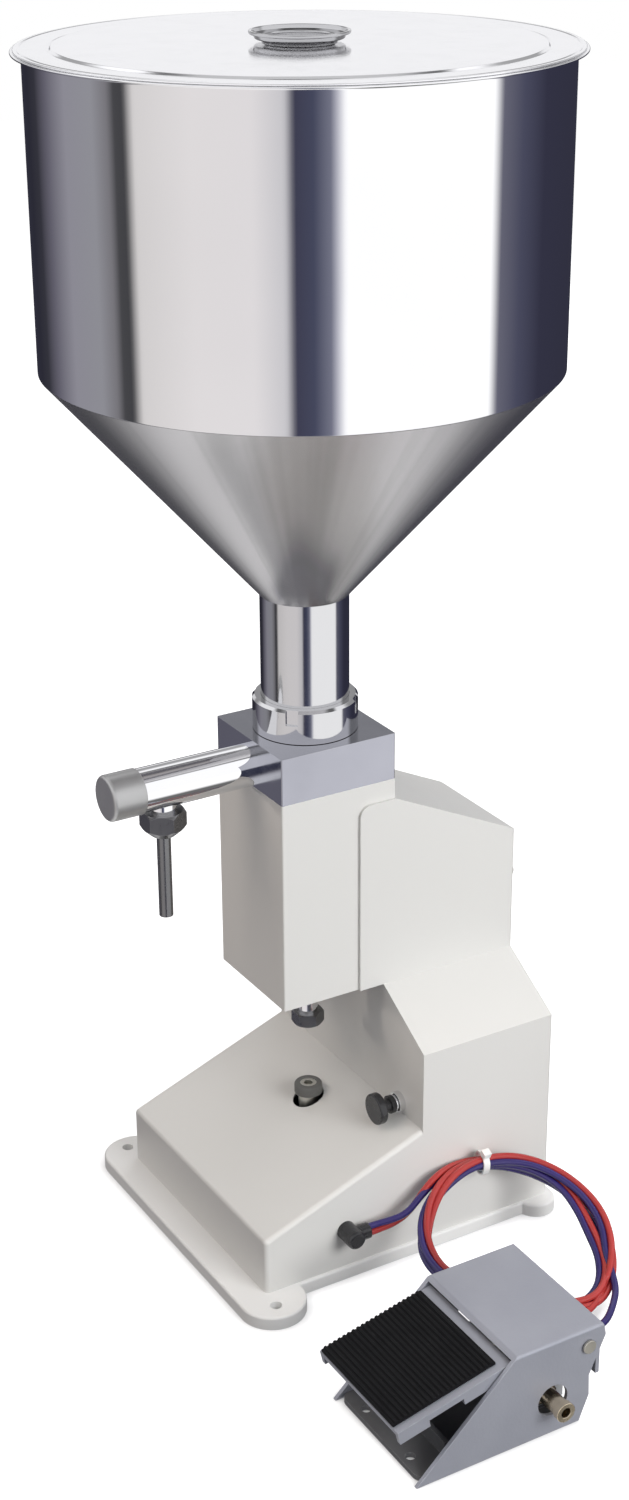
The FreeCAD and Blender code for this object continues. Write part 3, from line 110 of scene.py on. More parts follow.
def makeSurroundings():
    # tones round the horizon by azimuth in degrees, from -Y towards +X; each runs smoothly to the next
    ring = ((-180, (0.03, 0.03, 0.052)), (-92, (0.02, 0.02, 0.03)), (-80, (0.03, 0.03, 0.04)),
            (-68, (0.11, 0.105, 0.135)), (-52, (0.24, 0.235, 0.27)), (-34, (0.25, 0.25, 0.275)),
            (-25, (0.17, 0.165, 0.18)), (-21, (0.055, 0.055, 0.06)), (-16, (0.05, 0.05, 0.055)),
            (-11, (0.60, 0.58, 0.575)), (15, (0.68, 0.655, 0.655)), (40, (0.68, 0.655, 0.66)),
            (53, (0.54, 0.53, 0.55)), (57, (0.045, 0.045, 0.075)), (65, (0.055, 0.06, 0.10)),
            (72, (0.16, 0.165, 0.22)), (75, (0.5, 0.5, 0.56)), (78, (0.95, 0.95, 0.955)),
            (145, (0.95, 0.95, 0.955)), (150, (0.12, 0.12, 0.16)), (163, (0.06, 0.062, 0.10)),
            (180, (0.03, 0.03, 0.052)))
    # tones above the horizon by height in degrees: behind the machine, then in front of it
    behind = ((0, 0.70), (12, 0.72), (16, 0.30), (34, 0.32), (42, 0.85), (70, 0.9), (86, 0.1), (90, 0.08))
    ahead = ((0, 0.92), (47, 0.92), (51, 0.12), (54, 0.12), (60, 0.45), (78, 0.5), (84, 0.1), (90, 0.08))
    # strength is what mirrors see and diffuse what lights dull surfaces; the rest are tones, degrees and
    # blue, which tints everything above the horizon
    studio = {"strength": 1.35, "diffuse": 0.36, "below": 0.92, "belowFrom": -60.0, "belowTo": -40.0,
              "belowDark": 0.13, "darkFrom": 88.0, "darkTo": 172.0, "darkLow": -38.0, "darkHigh": -26.0,
              "aheadFrom": -66.0, "aheadTo": 170.0, "edge": 8.0, "aboveFrom": 0.5, "aboveTo": 3.0,
              "blue": 1.02}
    world = bpy.data.worlds.new("studio")
    scene.world = world
    world.use_nodes = True
    tree = world.node_tree
    tree.nodes.clear()
    out = node(tree, "ShaderNodeOutputWorld")
    coord = node(tree, "ShaderNodeTexCoord")
    split = node(tree, "ShaderNodeSeparateXYZ")
    link(tree, coord.outputs["Generated"], split.inputs[0])
    x, y, z = split.outputs
    back = math2(tree, "MULTIPLY", y, -1.0)
    around = ramp(tree, math2(tree, "ARCTAN2", x, back), -math.pi, math.pi, smooth=False)
    height = math2(tree, "MULTIPLY", math2(tree, "ARCSINE", z), 180 / math.pi)
    turn = ramp(tree, around, 0.0, 1.0, -180.0, 180.0, smooth=False)

    def toned(value, stops):
        """A colour ramp; its stops are (place from 0 to 1, tone)."""
        made = node(tree, "ShaderNodeValToRGB")
        elements = made.color_ramp.elements
        for i, (at, tone) in enumerate(stops):
            stop = elements[i] if i < 2 else elements.new(at)
            stop.position, stop.color = at, (*tone, 1)
        link(tree, value, made.inputs[0])
        return made.outputs[0]

    def mixed(factor, first, second):
        made = node(tree, "ShaderNodeMix", data_type="RGBA")
        sockets = (made.inputs[0], made.inputs[6], made.inputs[7])
        for socket, value in zip(sockets, (factor, first, second)):
            if isinstance(value, float):
                socket.default_value = (value, value, value, 1)
            else:
                link(tree, value, socket)
        return made.outputs[2]

    def sector(start, end):
        """1 between two azimuths and 0 outside them, with soft edges."""
        edge = studio["edge"]
        rise = ramp(tree, turn, start - edge, start + edge)
        return math2(tree, "MULTIPLY", rise, ramp(tree, turn, end - edge, end + edge, 1.0, 0.0))

    walls = toned(around, [((azimuth + 180) / 360, tone) for azimuth, tone in ring])
    climb = ramp(tree, height, 0.0, 90.0, smooth=False)
    rear, fore = (toned(climb, [(h / 90, (t, t, t * studio["blue"])) for h, t in stops])
                  for stops in (behind, ahead))
    fall = ramp(tree, height, studio["belowFrom"], studio["belowTo"], 1.0, 0.0)
    low = mixed(fall, walls, studio["below"])
    shade = math2(tree, "MULTIPLY", sector(studio["darkFrom"], studio["darkTo"]),
                  ramp(tree, height, studio["darkLow"], studio["darkHigh"], 1.0, 0.0))
    low = mixed(shade, low, studio["belowDark"])
    ceiling = mixed(sector(studio["aheadFrom"], studio["aheadTo"]), rear, fore)
    high = mixed(ramp(tree, height, studio["aboveFrom"], studio["aboveTo"]), low, ceiling)
    path = node(tree, "ShaderNodeLightPath")
    dim = ramp(tree, path.outputs["Is Diffuse Ray"], 0.0, 1.0, studio["strength"], studio["diffuse"],
               smooth=False)
    mirrored = node(tree, "ShaderNodeBackground")
    link(tree, high, mirrored.inputs[0])
    link(tree, dim, mirrored.inputs[1])
    white = node(tree, "ShaderNodeBackground", in_0=(1, 1, 1, 1), in_1=1.0)
    mixer = node(tree, "ShaderNodeMixShader")
    link(tree, path.outputs["Is Camera Ray"], mixer.inputs[0])
    link(tree, mirrored.outputs[0], mixer.inputs[1])
    link(tree, white.outputs[0], mixer.inputs[2])
    link(tree, mixer.outputs[0], out.inputs[0])


def placeLamp(data, at, towards):
    lamp = bpy.data.objects.new(data.name, data)
    lamp.location = at
    lamp.rotation_euler = (Vector(towards) - Vector(at)).to_track_quat("-Z", "Y").to_euler()
    lamp.visible_glossy = False
    scene.collection.objects.link(lamp)


def makeLamps():
    # name, place, point looked at, size in metres, power and colour
    lamps = (("keyLamp", (1.95, 0.5, 1.1), (0.05, 0.0, 0.25), 1.2, 40.0, (1.0, 1.0, 0.985)),
             ("topLamp", (0.2, 0.1, 2.6), (0.0, 0.0, 0.2), 1.6, 16.0, (1.0, 0.99, 0.98)),
             ("frontLamp", (-0.3, -1.7, 2.0), (0.0, 0.0, 0.3), 1.2, 15.0, (1.0, 0.88, 0.77)),
             ("backLamp", (-1.6, 2.0, 1.2), (0.0, 0.0, 0.25), 1.4, 22.0, (1.0, 1.0, 1.0)))
    for name, at, towards, size, power, color in lamps:
        data = bpy.data.lights.new(name, "AREA")
        data.size, data.energy, data.color = size, power, color
        placeLamp(data, at, towards)
    # a narrow warm light on the front of the column, which the hopper keeps in its shade
    spot = {"at": (-1.5, -1.5, 0.5), "towards": (0.0, -0.037, 0.235), "cone": 9.0, "power": 34.0,
            "color": (1.0, 0.90, 0.80), "blend": 0.7, "size": 0.1}
    data = bpy.data.lights.new("columnLamp", "SPOT")
    data.energy, data.color = spot["power"], spot["color"]
    data.spot_size, data.spot_blend = math.radians(spot["cone"]), spot["blend"]
    data.shadow_soft_size = spot["size"]
    placeLamp(data, spot["at"], spot["towards"])


def makeFloor():
    # glow is darkened by ambient occlusion within reach of whatever stands on the floor, a painted contact
    # shadow that also darkens the floor seen through holes in the base plate; drop keeps it clear of the base
    # plate
    floor = {"half": 4.0, "glow": 0.82, "reach": 0.009, "albedo": (0.55, 0.55, 0.56, 1), "drop": 0.0003}
    mesh = bpy.data.meshes.new("floor")
    h = floor["half"]
    mesh.from_pydata([(-h, -h, 0), (h, -h, 0), (h, h, 0), (-h, h, 0)], [], [(0, 1, 2, 3)])
    piece = bpy.data.objects.new("floor", mesh)
    piece.location = (0, 0, -floor["drop"])
    scene.collection.objects.link(piece)
    material = bpy.data.materials.new("floorWhite")
    material.use_nodes = True
    tree = material.node_tree
    tree.nodes.clear()
    glow = node(tree, "ShaderNodeEmission", in_0=(1, 1, 1, 1))
    # painted shade: ambient occlusion dims the floor's glow near and under the machine
    clear = node(tree, "ShaderNodeAmbientOcclusion", samples=8, in_Distance=floor["reach"])
    link(tree, math2(tree, "MULTIPLY", clear.outputs["AO"], floor["glow"]), glow.inputs[1])
    soft = node(tree, "ShaderNodeBsdfDiffuse", in_0=floor["albedo"])
    both = node(tree, "ShaderNodeAddShader")
    link(tree, glow.outputs[0], both.inputs[0])
    link(tree, soft.outputs[0], both.inputs[1])
    link(tree, both.outputs[0], node(tree, "ShaderNodeOutputMaterial").inputs[0])
    mesh.materials.append(material)
    piece.visible_glossy = False
    piece.visible_diffuse = False


scene.view_settings.view_transform = "Standard"
makeSurroundings()
makeLamps()
makeFloor()
print("studio made")


# ---- shared shader groups: each gives values or normals only ----

def newGroup(name, inputs, outputs):
    tree = bpy.data.node_groups.new(name, "ShaderNodeTree")
    for label, kind, value in inputs:
        socket = tree.interface.new_socket(label, in_out="INPUT", socket_type="NodeSocket" + kind)
        socket.default_value = value
    for label, kind in outputs:
        tree.interface.new_socket(label, in_out="OUTPUT", socket_type="NodeSocket" + kind)
    return tree, node(tree, "NodeGroupInput"), node(tree, "NodeGroupOutput")


def surfaceWearGroup():
    """Soft patches, fine smudges and a bright mask along worn edges."""
    tree, given, out = newGroup(
        "surfaceWear",
        (("Patch Scale", "Float", 12.0), ("Smudge Scale", "Float", 90.0), ("Edge Radius", "Float", 0.0006)),
        (("Patches", "Float"), ("Smudges", "Float"), ("Edges", "Float")))
    coord = node(tree, "ShaderNodeTexCoord")
    patches = node(tree, "ShaderNodeTexNoise", in_Detail=2.0, in_Roughness=0.5)
    link(tree, coord.outputs["Object"], patches.inputs["Vector"])
    link(tree, given.outputs["Patch Scale"], patches.inputs["Scale"])
    smudges = node(tree, "ShaderNodeTexNoise", in_Detail=6.0, in_Roughness=0.62, in_Distortion=0.4)
    link(tree, coord.outputs["Object"], smudges.inputs["Vector"])
    link(tree, given.outputs["Smudge Scale"], smudges.inputs["Scale"])
    bevel = node(tree, "ShaderNodeBevel", samples=4)
    link(tree, given.outputs["Edge Radius"], bevel.inputs["Radius"])
    geometry = node(tree, "ShaderNodeNewGeometry")
    turn = node(tree, "ShaderNodeVectorMath", operation="DOT_PRODUCT")
    link(tree, bevel.outputs[0], turn.inputs[0])
    link(tree, geometry.outputs["Normal"], turn.inputs[1])
    edge = ramp(tree, turn.outputs["Value"], 0.86, 0.995, 1.0, 0.0)
    broken = math2(tree, "MULTIPLY", edge, ramp(tree, smudges.outputs[0], 0.35, 0.6), clamp=True)
    link(tree, patches.outputs[0], out.inputs[0])
    link(tree, smudges.outputs[0], out.inputs[1])
    link(tree, broken, out.inputs[2])
    return tree


def grainGroup():
    """Fine grinding lines: stretched noise along one axis, as a value and a normal."""
    tree, given, out = newGroup(
        "brushedGrain", (("Stretch", "Vector", (40.0, 40.0, 900.0)), ("Depth", "Float", 0.02)),
        (("Lines", "Float"), ("Normal", "Vector")))
    coord = node(tree, "ShaderNodeTexCoord")
    scaled = node(tree, "ShaderNodeVectorMath", operation="MULTIPLY")
    link(tree, coord.outputs["Object"], scaled.inputs[0])
    link(tree, given.outputs["Stretch"], scaled.inputs[1])
    lines = node(tree, "ShaderNodeTexNoise", in_Scale=1.0, in_Detail=3.0, in_Roughness=0.6)
    link(tree, scaled.outputs[0], lines.inputs["Vector"])
    bump = node(tree, "ShaderNodeBump", in_Distance=0.0002)
    link(tree, given.outputs["Depth"], bump.inputs["Strength"])
    link(tree, lines.outputs[0], bump.inputs["Height"])
    link(tree, lines.outputs[0], out.inputs[0])
    link(tree, bump.outputs[0], out.inputs[1])
    return tree


def peelGroup():
    """Orange peel of sprayed or moulded surfaces, with a finer grain on top."""
    tree, given, out = newGroup(
        "orangePeel",
        (("Peel Scale", "Float", 260.0), ("Grain Scale", "Float", 1800.0), ("Depth", "Float", 0.05),
         ("Grain Share", "Float", 0.2)),
        (("Normal", "Vector"),))
    coord = node(tree, "ShaderNodeTexCoord")
    peel = node(tree, "ShaderNodeTexNoise", in_Detail=1.5, in_Roughness=0.45)
    grain = node(tree, "ShaderNodeTexNoise", in_Detail=2.0, in_Roughness=0.5)
    for texture, label in ((peel, "Peel Scale"), (grain, "Grain Scale")):
        link(tree, coord.outputs["Object"], texture.inputs["Vector"])
        link(tree, given.outputs[label], texture.inputs["Scale"])
    share = math2(tree, "MULTIPLY", grain.outputs[0], given.outputs["Grain Share"])
    total = math2(tree, "ADD", peel.outputs[0], share)
    bump = node(tree, "ShaderNodeBump", in_Distance=0.0004)
    link(tree, given.outputs["Depth"], bump.inputs["Strength"])
    link(tree, total, bump.inputs["Height"])
    link(tree, bump.outputs[0], out.inputs[0])
    return tree


groups = {"wear": surfaceWearGroup(), "grain": grainGroup(), "peel": peelGroup()}


# ---- materials ----

def makeMaterial(name, s):
    """s holds color, tint (a second colour in the patches), metallic, rough (low, high), worn and bare
    (how much the edges show, and their colour), through (light let into the surface), radial (marks
    turned round the axis), and either grain (ground lines) or peel (sprayed or moulded skin)."""
    material = bpy.data.materials.new(name)
    material.use_nodes = True
    tree = material.node_tree
    shader = tree.nodes["Principled BSDF"]
    wear = node(tree, "ShaderNodeGroup", node_tree=groups["wear"])
    wear.inputs["Patch Scale"].default_value = s.get("patch", 9.0)
    wear.inputs["Smudge Scale"].default_value = s.get("smudge", 70.0)
    wear.inputs["Edge Radius"].default_value = s.get("edge", 0.0006)
    tone = node(tree, "ShaderNodeMix", data_type="RGBA")
    link(tree, ramp(tree, wear.outputs["Patches"], 0.32, 0.68), tone.inputs[0])
    tone.inputs[6].default_value = (*s["color"], 1)
    tone.inputs[7].default_value = (*s.get("tint", s["color"]), 1)
    worn = node(tree, "ShaderNodeMix", data_type="RGBA")
    link(tree, math2(tree, "MULTIPLY", wear.outputs["Edges"], s.get("worn", 0.25)), worn.inputs[0])
    link(tree, tone.outputs[2], worn.inputs[6])
    worn.inputs[7].default_value = (*s.get("bare", (0.75, 0.75, 0.76)), 1)
    link(tree, worn.outputs[2], shader.inputs["Base Color"])
    shader.inputs["Metallic"].default_value = s.get("metallic", 0.0)
    low, high = s["rough"]
    link(tree, ramp(tree, wear.outputs["Smudges"], 0.3, 0.7, low, high), shader.inputs["Roughness"])
    shader.inputs["Specular IOR Level"].default_value = s.get("specular", 0.5)
    if "through" in s:
        shader.inputs["Subsurface Weight"].default_value = s["through"]
        shader.inputs["Subsurface Radius"].default_value = (0.6, 0.35, 0.3)
        shader.inputs["Subsurface Scale"].default_value = 0.002
    if "radial" in s:
        # turning marks run round the axis, so reflections stretch up and down the surface
        coord = node(tree, "ShaderNodeTexCoord")
        around = node(tree, "ShaderNodeVectorMath", operation="CROSS_PRODUCT", in_0=(0, 0, 1))
        link(tree, coord.outputs["Object"], around.inputs[1])
        link(tree, around.outputs[0], shader.inputs["Tangent"])
        shader.inputs["Anisotropic"].default_value = s["radial"]
        facing = node(tree, "ShaderNodeVectorMath", operation="NORMALIZE")
        link(tree, around.outputs[0], facing.inputs[0])
        streaks = node(tree, "ShaderNodeTexNoise", in_Scale=5.0, in_Detail=3.0, in_Roughness=0.65)
        link(tree, facing.outputs[0], streaks.inputs["Vector"])
        link(tree, ramp(tree, streaks.outputs[0], 0.42, 0.62), tone.inputs[0])
    if "grain" in s:
        grain = node(tree, "ShaderNodeGroup", node_tree=groups["grain"])
        grain.inputs["Stretch"].default_value = s["grain"]
        grain.inputs["Depth"].default_value = s.get("depth", 0.05)
        link(tree, grain.outputs["Normal"], shader.inputs["Normal"])
    else:
        peel = node(tree, "ShaderNodeGroup", node_tree=groups["peel"])
        peel.inputs["Peel Scale"].default_value = s.get("peel", 260.0)
        peel.inputs["Grain Scale"].default_value = s.get("fine", 1800.0)
        peel.inputs["Depth"].default_value = s.get("depth", 0.05)
        peel.inputs["Grain Share"].default_value = s.get("share", 0.2)
        link(tree, peel.outputs["Normal"], shader.inputs["Normal"])
    return material


finishes = {
    "body_paint": {
        "color": (0.72, 0.715, 0.70), "tint": (0.705, 0.70, 0.685), "rough": (0.30, 0.34),
        "peel": 320.0, "depth": 0.04, "worn": 0.1, "patch": 5.0, "specular": 0.35},
    "plate_paint": {
        "color": (0.86, 0.86, 0.855), "tint": (0.84, 0.84, 0.835), "rough": (0.42, 0.5),
        "peel": 420.0, "depth": 0.08, "worn": 0.15, "specular": 0.3},
    "polished_steel": {
        "color": (0.80, 0.80, 0.81), "tint": (0.78, 0.78, 0.79), "metallic": 1.0,
        "rough": (0.025, 0.045), "peel": 26.0, "fine": 900.0, "share": 0.02, "depth": 0.05},
    "brushed_steel": {
        "color": (0.62, 0.62, 0.64), "tint": (0.56, 0.56, 0.58), "metallic": 1.0,
        "rough": (0.30, 0.40), "grain": (60.0, 60.0, 1400.0), "depth": 0.18},
    "frame_steel": {
        "color": (0.07, 0.072, 0.078), "rough": (0.5, 0.65), "peel": 500.0, "depth": 0.12},
    "zinc_steel": {
        "color": (0.50, 0.50, 0.47), "tint": (0.56, 0.53, 0.46), "metallic": 1.0,
        "rough": (0.3, 0.45), "peel": 700.0, "depth": 0.06},
    "cylinder_aluminium": {
        "color": (0.62, 0.63, 0.65), "metallic": 1.0, "rough": (0.35, 0.45),
        "grain": (900.0, 900.0, 60.0), "depth": 0.12},
    "pedal_aluminium": {
        "color": (0.335, 0.345, 0.395), "tint": (0.305, 0.315, 0.365), "metallic": 0.3,
        "rough": (0.34, 0.46), "peel": 520.0, "depth": 0.16, "patch": 16.0},
    "pedal_dark": {
        "color": (0.10, 0.102, 0.11), "tint": (0.13, 0.13, 0.135), "rough": (0.45, 0.6),
        "peel": 500.0, "depth": 0.12},
    "pale_plastic": {
        "color": (0.62, 0.62, 0.61), "rough": (0.35, 0.5), "depth": 0.06},
    "black_plastic": {
        "color": (0.016, 0.016, 0.018), "rough": (0.22, 0.34), "depth": 0.07, "peel": 600.0,
        "bare": (0.08, 0.08, 0.085)},
    "bronze": {
        "color": (0.50, 0.30, 0.12), "metallic": 1.0, "rough": (0.35, 0.5), "depth": 0.1},
    "brass": {
        "color": (0.70, 0.60, 0.44), "tint": (0.64, 0.54, 0.38), "metallic": 1.0,
        "rough": (0.18, 0.30), "grain": (1500.0, 80.0, 80.0), "depth": 0.08},
    "seal_rubber": {
        "color": (0.022, 0.022, 0.024), "rough": (0.5, 0.65), "peel": 900.0, "depth": 0.15,
        "bare": (0.06, 0.06, 0.06)},
    "gasket_rubber": {
        "color": (0.75, 0.75, 0.71), "rough": (0.5, 0.6), "depth": 0.08, "through": 0.2},
    "pad_rubber": {
        "color": (0.005, 0.005, 0.006), "tint": (0.007, 0.007, 0.008), "rough": (0.62, 0.75),
        "peel": 1100.0, "depth": 0.12, "bare": (0.02, 0.02, 0.022), "specular": 0.16},
    "red_hose": {
        "color": (0.42, 0.038, 0.034), "tint": (0.36, 0.030, 0.030), "rough": (0.16, 0.26),
        "through": 0.25, "depth": 0.03, "bare": (0.75, 0.2, 0.15)},
    "blue_hose": {
        "color": (0.024, 0.016, 0.11), "tint": (0.032, 0.020, 0.14), "rough": (0.16, 0.26),
        "through": 0.15, "depth": 0.03, "bare": (0.1, 0.1, 0.3)},
    "white_nylon": {
        "color": (0.82, 0.82, 0.81), "rough": (0.32, 0.42), "through": 0.2, "depth": 0.04},
    "cone_steel": {
        "color": (0.46, 0.45, 0.46), "tint": (0.40, 0.395, 0.40), "metallic": 1.0,
        "rough": (0.27, 0.27), "grain": (30.0, 30.0, 900.0), "depth": 0.03, "patch": 7.0,
        "worn": 0.0, "radial": 0.6},
    "bumper_rubber": {
        "color": (0.11, 0.11, 0.105), "rough": (0.5, 0.6), "peel": 900.0, "depth": 0.1},
    # painted shade: a darker copy of the polished steel, standing in for the dark inside of the knob's dish and
    # the shade under its lip
    "shaded_knob_steel": {
        "color": (0.46, 0.46, 0.47), "metallic": 1.0, "rough": (0.07, 0.11), "peel": 30.0,
        "share": 0.02, "depth": 0.04},
    # painted shade: a darker copy of the polished steel for the neck and its nut, which stand in the hopper's
    # shadow
    "shaded_neck_steel": {
        "color": (0.60, 0.60, 0.61), "metallic": 1.0, "rough": (0.07, 0.11), "peel": 26.0,
        "fine": 900.0, "share": 0.02, "depth": 0.05},
    "lid_steel": {
        "color": (0.84, 0.84, 0.85), "metallic": 1.0, "rough": (0.08, 0.13), "peel": 30.0,
        "share": 0.02, "depth": 0.04},
    "block_steel": {
        "color": (0.42, 0.425, 0.475), "tint": (0.36, 0.365, 0.41), "metallic": 1.0,
        "rough": (0.12, 0.18), "peel": 40.0, "share": 0.03, "depth": 0.05},
    "cap_steel": {
        "color": (0.42, 0.42, 0.42), "metallic": 0.8, "rough": (0.34, 0.42),
        "grain": (60.0, 1500.0, 60.0), "depth": 0.05},
    "nozzle_steel": {
        "color": (0.20, 0.20, 0.205), "tint": (0.17, 0.17, 0.175), "metallic": 1.0,
        "rough": (0.24, 0.34), "grain": (900.0, 900.0, 90.0), "depth": 0.03},
}
materials = {name: makeMaterial(name, s) for name, s in finishes.items()}
slotOf = {p["node"]: p["material_slot"] for p in frame["record"]["subparts"]}
for name, cad in frame["nodes"].items():
    finish = materials[slotOf[name]]
    if cad.material_slots:
        for place in cad.material_slots:
            place.material = finish
    else:
        cad.data.materials.append(finish)
print("materials made", len(materials))


# ---- mesh helpers ----

def bodyOf(name):
    return next(b for b, members in frame["record"]["behaviour"]["bodies"].items() if name in members)


def addPiece(name, mesh, stands_for, finish=None):
    """Links a finished mesh, lets it ride with the body of the node it stands for, and hides that node."""
    piece = bpy.data.objects.new(name, mesh)
    scene.collection.objects.link(piece)
    nodes = [stands_for] if isinstance(stands_for, str) else list(stands_for)
    mesh.materials.clear()
    mesh.materials.append(materials[finish or slotOf[nodes[0]]])
    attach(piece, bodyOf(nodes[0]))
    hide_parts(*nodes)
    return piece


def baked(piece, name):
    """The mesh of a piece with its modifiers applied; the piece itself is removed."""
    graph = bpy.context.evaluated_depsgraph_get()
    mesh = bpy.data.meshes.new_from_object(piece.evaluated_get(graph), preserve_all_data_layers=True,
                                           depsgraph=graph)
    mesh.name = name
    bpy.data.objects.remove(piece)
    return mesh


def refined(nodeName, finish=None, bevel=0.3, segments=2, angle=32.0, clean=0.6, join=0.002):
    """A CAD node with joined faces, small rounded edges and smooth shading; lengths in millimetres."""
    mesh = frame["nodes"][nodeName].data.copy()
    bm = bmesh.new()
    bm.from_mesh(mesh)
    bmesh.ops.remove_doubles(bm, verts=bm.verts, dist=join * mm)
    bmesh.ops.dissolve_limit(bm, angle_limit=math.radians(clean), verts=bm.verts, edges=bm.edges)
    bm.to_mesh(mesh)
    bm.free()
    for polygon in mesh.polygons:
        polygon.use_smooth = True
    if "sharp_face" in mesh.attributes:
        mesh.attributes.remove(mesh.attributes["sharp_face"])
    piece = bpy.data.objects.new("work", mesh)
    scene.collection.objects.link(piece)
    if bevel:
        rounding = piece.modifiers.new("round", "BEVEL")
        rounding.width, rounding.segments = bevel * mm, segments
        rounding.limit_method, rounding.angle_limit = "ANGLE", math.radians(angle)
        rounding.use_clamp_overlap = True
        rounding.miter_outer = "MITER_ARC"
        levelling = piece.modifiers.new("even", "WEIGHTED_NORMAL")
        levelling.weight, levelling.keep_sharp = 60, False
    else:
        mesh.set_sharp_from_angle(angle=math.radians(angle))
    return addPiece(nodeName + "_finish", baked(piece, nodeName + "_finish"), nodeName, finish)


def softened(profile, radius, steps=5, support=0.25, share=0.45, straight=89.5):
    """Rounds the corners of a closed (r, z) outline in millimetres. A corner's own radius is its third
    number. A rounding takes at most this share of a side; a corner whose half angle is past straight, in
    degrees, is left as it is."""
    out = []
    count = len(profile)
    for i, corner in enumerate(profile):
        p = Vector(corner[:2])
        before, after = Vector(profile[i - 1][:2]), Vector(profile[(i + 1) % count][:2])
        r = corner[2] if len(corner) > 2 else radius
        u, w = (before - p), (after - p)
        reach = min(u.length, w.length) * share
        u.normalize()
        w.normalize()
        half = math.acos(max(-1.0, min(1.0, u.dot(w)))) / 2
        if r <= 0 or half > math.radians(straight):
            out.append(p)
            continue
        cut = min(r / math.tan(half), reach)
        r = cut * math.tan(half)
        centre = p + (u + w).normalized() * (r / math.sin(half))
        a0 = p + u * cut - centre
        a1 = p + w * cut - centre
        start = math.atan2(a0.y, a0.x)
        turn = (math.atan2(a1.y, a1.x) - start + math.pi) % (2 * math.pi) - math.pi
        edge = min(support, reach - cut) if reach > cut else 0
        if edge > 0:
            out.append(p + u * (cut + edge))
        for k in range(steps + 1):
            a = start + turn * k / steps
            out.append(centre + Vector((math.cos(a), math.sin(a))) * r)
        if edge > 0:
            out.append(p + w * (cut + edge))
    return out


def lathe(name, profile, turns, centre=(0, 0, 0), axis="Z", sharp=35.0):
    """Turns a closed (r, z) outline in millimetres about an axis through the centre; edges steeper than
    sharp, in degrees, stay crisp."""
    verts, faces = [], []
    rows = []
    for point in profile:
        r, z = point[0], point[1]
        if abs(r) < 1e-6:
            rows.append([len(verts)])
            verts.append((0, 0, z))
            continue
        rows.append(list(range(len(verts), len(verts) + turns)))
        for k in range(turns):
            a = 2 * math.pi * k / turns
            verts.append((r * math.cos(a), r * math.sin(a), z))
    count = len(rows)
    for i in range(count):
        low, high = rows[i], rows[(i + 1) % count]
        if len(low) == 1 and len(high) == 1:
            continue
        for k in range(turns):
            j = (k + 1) % turns
            if len(low) == 1:
                faces.append((low[0], high[j], high[k]))
            elif len(high) == 1:
                faces.append((low[k], low[j], high[0]))
            else:
                faces.append((low[k], low[j], high[j], high[k]))
    if axis == "-Y":
        verts = [(x, -z, y) for x, y, z in verts]
    c = Vector(centre)
    verts = [((Vector(v) + c) * mm)[:] for v in verts]
    mesh = bpy.data.meshes.new(name)
    mesh.from_pydata(verts, [], faces)
    bm = bmesh.new()
    bm.from_mesh(mesh)
    bmesh.ops.recalc_face_normals(bm, faces=bm.faces)
    bm.to_mesh(mesh)
    bm.free()
    for polygon in mesh.polygons:
        polygon.use_smooth = True
    mesh.set_sharp_from_angle(angle=math.radians(sharp))
    return mesh


# ---- repeats made by geometry nodes ----

def newTree(name, inputs):
    """A geometry tree with named inputs; its ends are the group's input and output nodes."""
    tree = bpy.data.node_groups.new(name, "GeometryNodeTree")
    tree.interface.new_socket("Geometry", in_out="INPUT", socket_type="NodeSocketGeometry")
    for label, kind, value in inputs:
        socket = tree.interface.new_socket(label, in_out="INPUT", socket_type="NodeSocket" + kind)
        socket.default_value = value
    tree.interface.new_socket("Geometry", in_out="OUTPUT", socket_type="NodeSocketGeometry")
    return tree, node(tree, "NodeGroupInput"), node(tree, "NodeGroupOutput")


def vector(tree, x=0.0, y=0.0, z=0.0):
    made = node(tree, "ShaderNodeCombineXYZ")
    for socket, value in zip(made.inputs, (x, y, z)):
        if isinstance(value, (int, float)):
            socket.default_value = value
        else:
            link(tree, value, socket)
    return made.outputs[0]


def finishTree(tree, geometry, out, material):
    """Every tree ends in real geometry with its material set."""
    real = node(tree, "GeometryNodeRealizeInstances")
    link(tree, geometry, real.inputs[0])
    paint = node(tree, "GeometryNodeSetMaterial")
    link(tree, real.outputs[0], paint.inputs[0])
    paint.inputs["Material"].default_value = material
    link(tree, paint.outputs[0], out.inputs[0])


def grown(name, mesh, tree, values):
    """The mesh that a tree makes on a start mesh, with its inputs set by the sockets' identifiers."""
    piece = bpy.data.objects.new(name, mesh)
    scene.collection.objects.link(piece)
    modifier = piece.modifiers.new("grow", "NODES")
    modifier.node_group = tree
    for socket in tree.interface.items_tree:
        if socket.item_type == "SOCKET" and socket.in_out == "INPUT" and socket.name in values:
            modifier[socket.identifier] = values[socket.name]
    return baked(piece, name)


